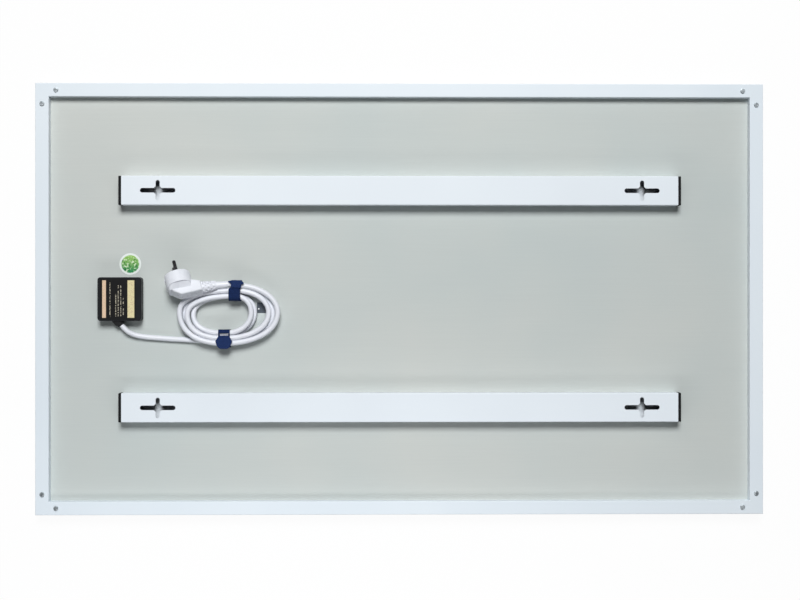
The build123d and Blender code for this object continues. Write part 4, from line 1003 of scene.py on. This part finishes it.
def open_slot(shape, centre_x, slot):
    """Takes the strap's upper side out between the slot's two places."""
    for side in slot:
        cut_across(shape, "y", side)
    reach = STRAP_WIDE / 2 - SLOT_MARGIN
    gone = []
    for face in shape.faces:
        middle = face.calc_center_median() / MM
        inside = slot[0] < middle.y < slot[1] and abs(middle.x - centre_x) < reach
        if face.normal.z > 0.9 and inside:
            gone.append(face)
    bmesh.ops.delete(shape, geom=gone, context="FACES")


def draw_in(shape, centre_x, start, narrow, shift):
    """Narrows the strap and moves it aside from a place in Y on."""
    for vert in shape.verts:
        share = min(max((vert.co.y / MM - start) / WAIST_RUN, 0.0), 1.0)
        away = vert.co.x / MM - centre_x
        vert.co.x += (away * (narrow - 1) + shift) * share * MM


def strap_loop(name, centre_x, low_y, high_y, high_z, slot=None, waist=None):
    """A strap once round the bundle.

    Slot gives two places in Y between which its top is open; waist gives what draw_in takes.
    """
    shape = bmesh.new()
    bmesh.ops.create_cube(shape, size=1.0)
    middle = Vector((centre_x, (low_y + high_y) / 2, (STRAP_LOW + high_z) / 2)) * MM
    size = Vector((STRAP_WIDE, high_y - low_y, high_z - STRAP_LOW)) * MM
    bmesh.ops.scale(shape, vec=size, verts=shape.verts)
    bmesh.ops.translate(shape, vec=middle, verts=shape.verts)
    ends = [face for face in shape.faces if abs(face.normal.x) > 0.9]
    bmesh.ops.delete(shape, geom=ends, context="FACES_ONLY")
    corners = []
    for edge in shape.edges:
        one, two = edge.verts
        if abs((one.co - two.co).x) > 0.5 * size.x:
            corners.append(edge)
    rounded(shape, corners, STRAP_CORNER, 6)
    for cut in range(1, CUTS_ACROSS):
        cut_across(shape, "x", centre_x - STRAP_WIDE / 2 + cut * STRAP_WIDE / CUTS_ACROSS)
    flat = high_y - low_y - 2 * STRAP_CORNER
    for cut in range(1, CUTS_ALONG):
        cut_across(shape, "y", low_y + STRAP_CORNER + cut * flat / CUTS_ALONG)
    if slot:
        open_slot(shape, centre_x, slot)
    if waist:
        draw_in(shape, centre_x, *waist)
    softened(shape)
    bmesh.ops.recalc_face_normals(shape, faces=shape.faces)
    bmesh.ops.solidify(shape, geom=shape.faces, thickness=-STRAP_THICK * MM)
    return finish_mesh(name, shape, smooth=True)


def strap_head(name, centre_x, outline, low_z, border=0.0):
    """The head of a tie: a plate of doubled strap, with a pressed border where it is wide."""
    shape = bmesh.new()
    corners = [shape.verts.new(Vector((centre_x + x, y, low_z)) * MM) for x, y in outline]
    plate = shape.faces.new(corners)
    if plate.normal.z < 0:
        plate.normal_flip()
    raised = bmesh.ops.extrude_face_region(shape, geom=[plate], use_keep_orig=True)
    upper = [item for item in raised["geom"] if isinstance(item, bmesh.types.BMVert)]
    bmesh.ops.translate(shape, vec=(0, 0, HEAD_THICK * MM), verts=upper)
    bmesh.ops.recalc_face_normals(shape, faces=shape.faces)
    rounded(shape, shape.edges[:], HEAD_ROUND, 3)
    steps = ((border, 0.0), BORDER_STEP) if border else ()
    for wide, deep in steps:
        tops = [face for face in shape.faces if face.normal.z > 0.99 and len(face.verts) > 4]
        bmesh.ops.inset_region(
            shape, faces=tops, thickness=wide * MM, depth=deep * MM, use_even_offset=True
        )
    return finish_mesh(name, shape, smooth=False)


BOTTOM_HEAD = (
    (-7.2, -50.4),
    (-11.6, -57.9),
    (-9.4, -65.2),
    (-5.2, -68.4),
    (4.6, -68.6),
    (8.2, -65.6),
    (11.6, -58.3),
    (7.0, -50.4),
)
TOP_HEAD = (
    (-4.8, 15.8),
    (-4.3, 21.0),
    (-8.6, 23.7),
    (-8.2, 24.7),
    (-3.2, 25.8),
    (9.2, 26.0),
    (13.4, 21.9),
    (13.2, 20.8),
    (9.8, 20.2),
    (9.0, 15.2),
)


def make_ties():
    """Both ties, each a strap and a head, in place of the model's closed bands."""
    bottom_strap = strap_loop(
        "bottom_tie_strap", BOTTOM_TIE_X, -65.6, -43.2, 30.2, slot=(-50.6, -46.9)
    )
    bottom_head = strap_head("bottom_tie_head", BOTTOM_TIE_X, BOTTOM_HEAD, 31.5, border=1.1)
    top_strap = strap_loop("top_tie_strap", TOP_TIE_X, -1.33, 24.77, 32.6, waist=(14.0, 0.82, 2.4))
    top_head = strap_head("top_tie_head", TOP_TIE_X, TOP_HEAD, 33.9)
    pieces = (
        (bottom_strap, bottom_head, "cord_tie_bottom"),
        (top_strap, top_head, "cord_tie_top"),
    )
    for strap, head, node in pieces:
        strap.data.materials.append(FINISHES["strap"])
        head.data.materials.append(FINISHES["strap_edge"])
        for piece in (strap, head):
            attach(piece, "root")
            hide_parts(node)
    return [piece for strap, head, _ in pieces for piece in (strap, head)]


bpy.context.scene.view_settings.view_transform = "Standard"
photo_camera()
studio_light()
studio_world()
studio_floor()
FINISHES = make_finishes()
dress_cad_nodes()
cord = mains_cord()
[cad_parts[name] for name in PLUG_NODES] + [relief_tip()] + make_ties()
cord_gland_bush()
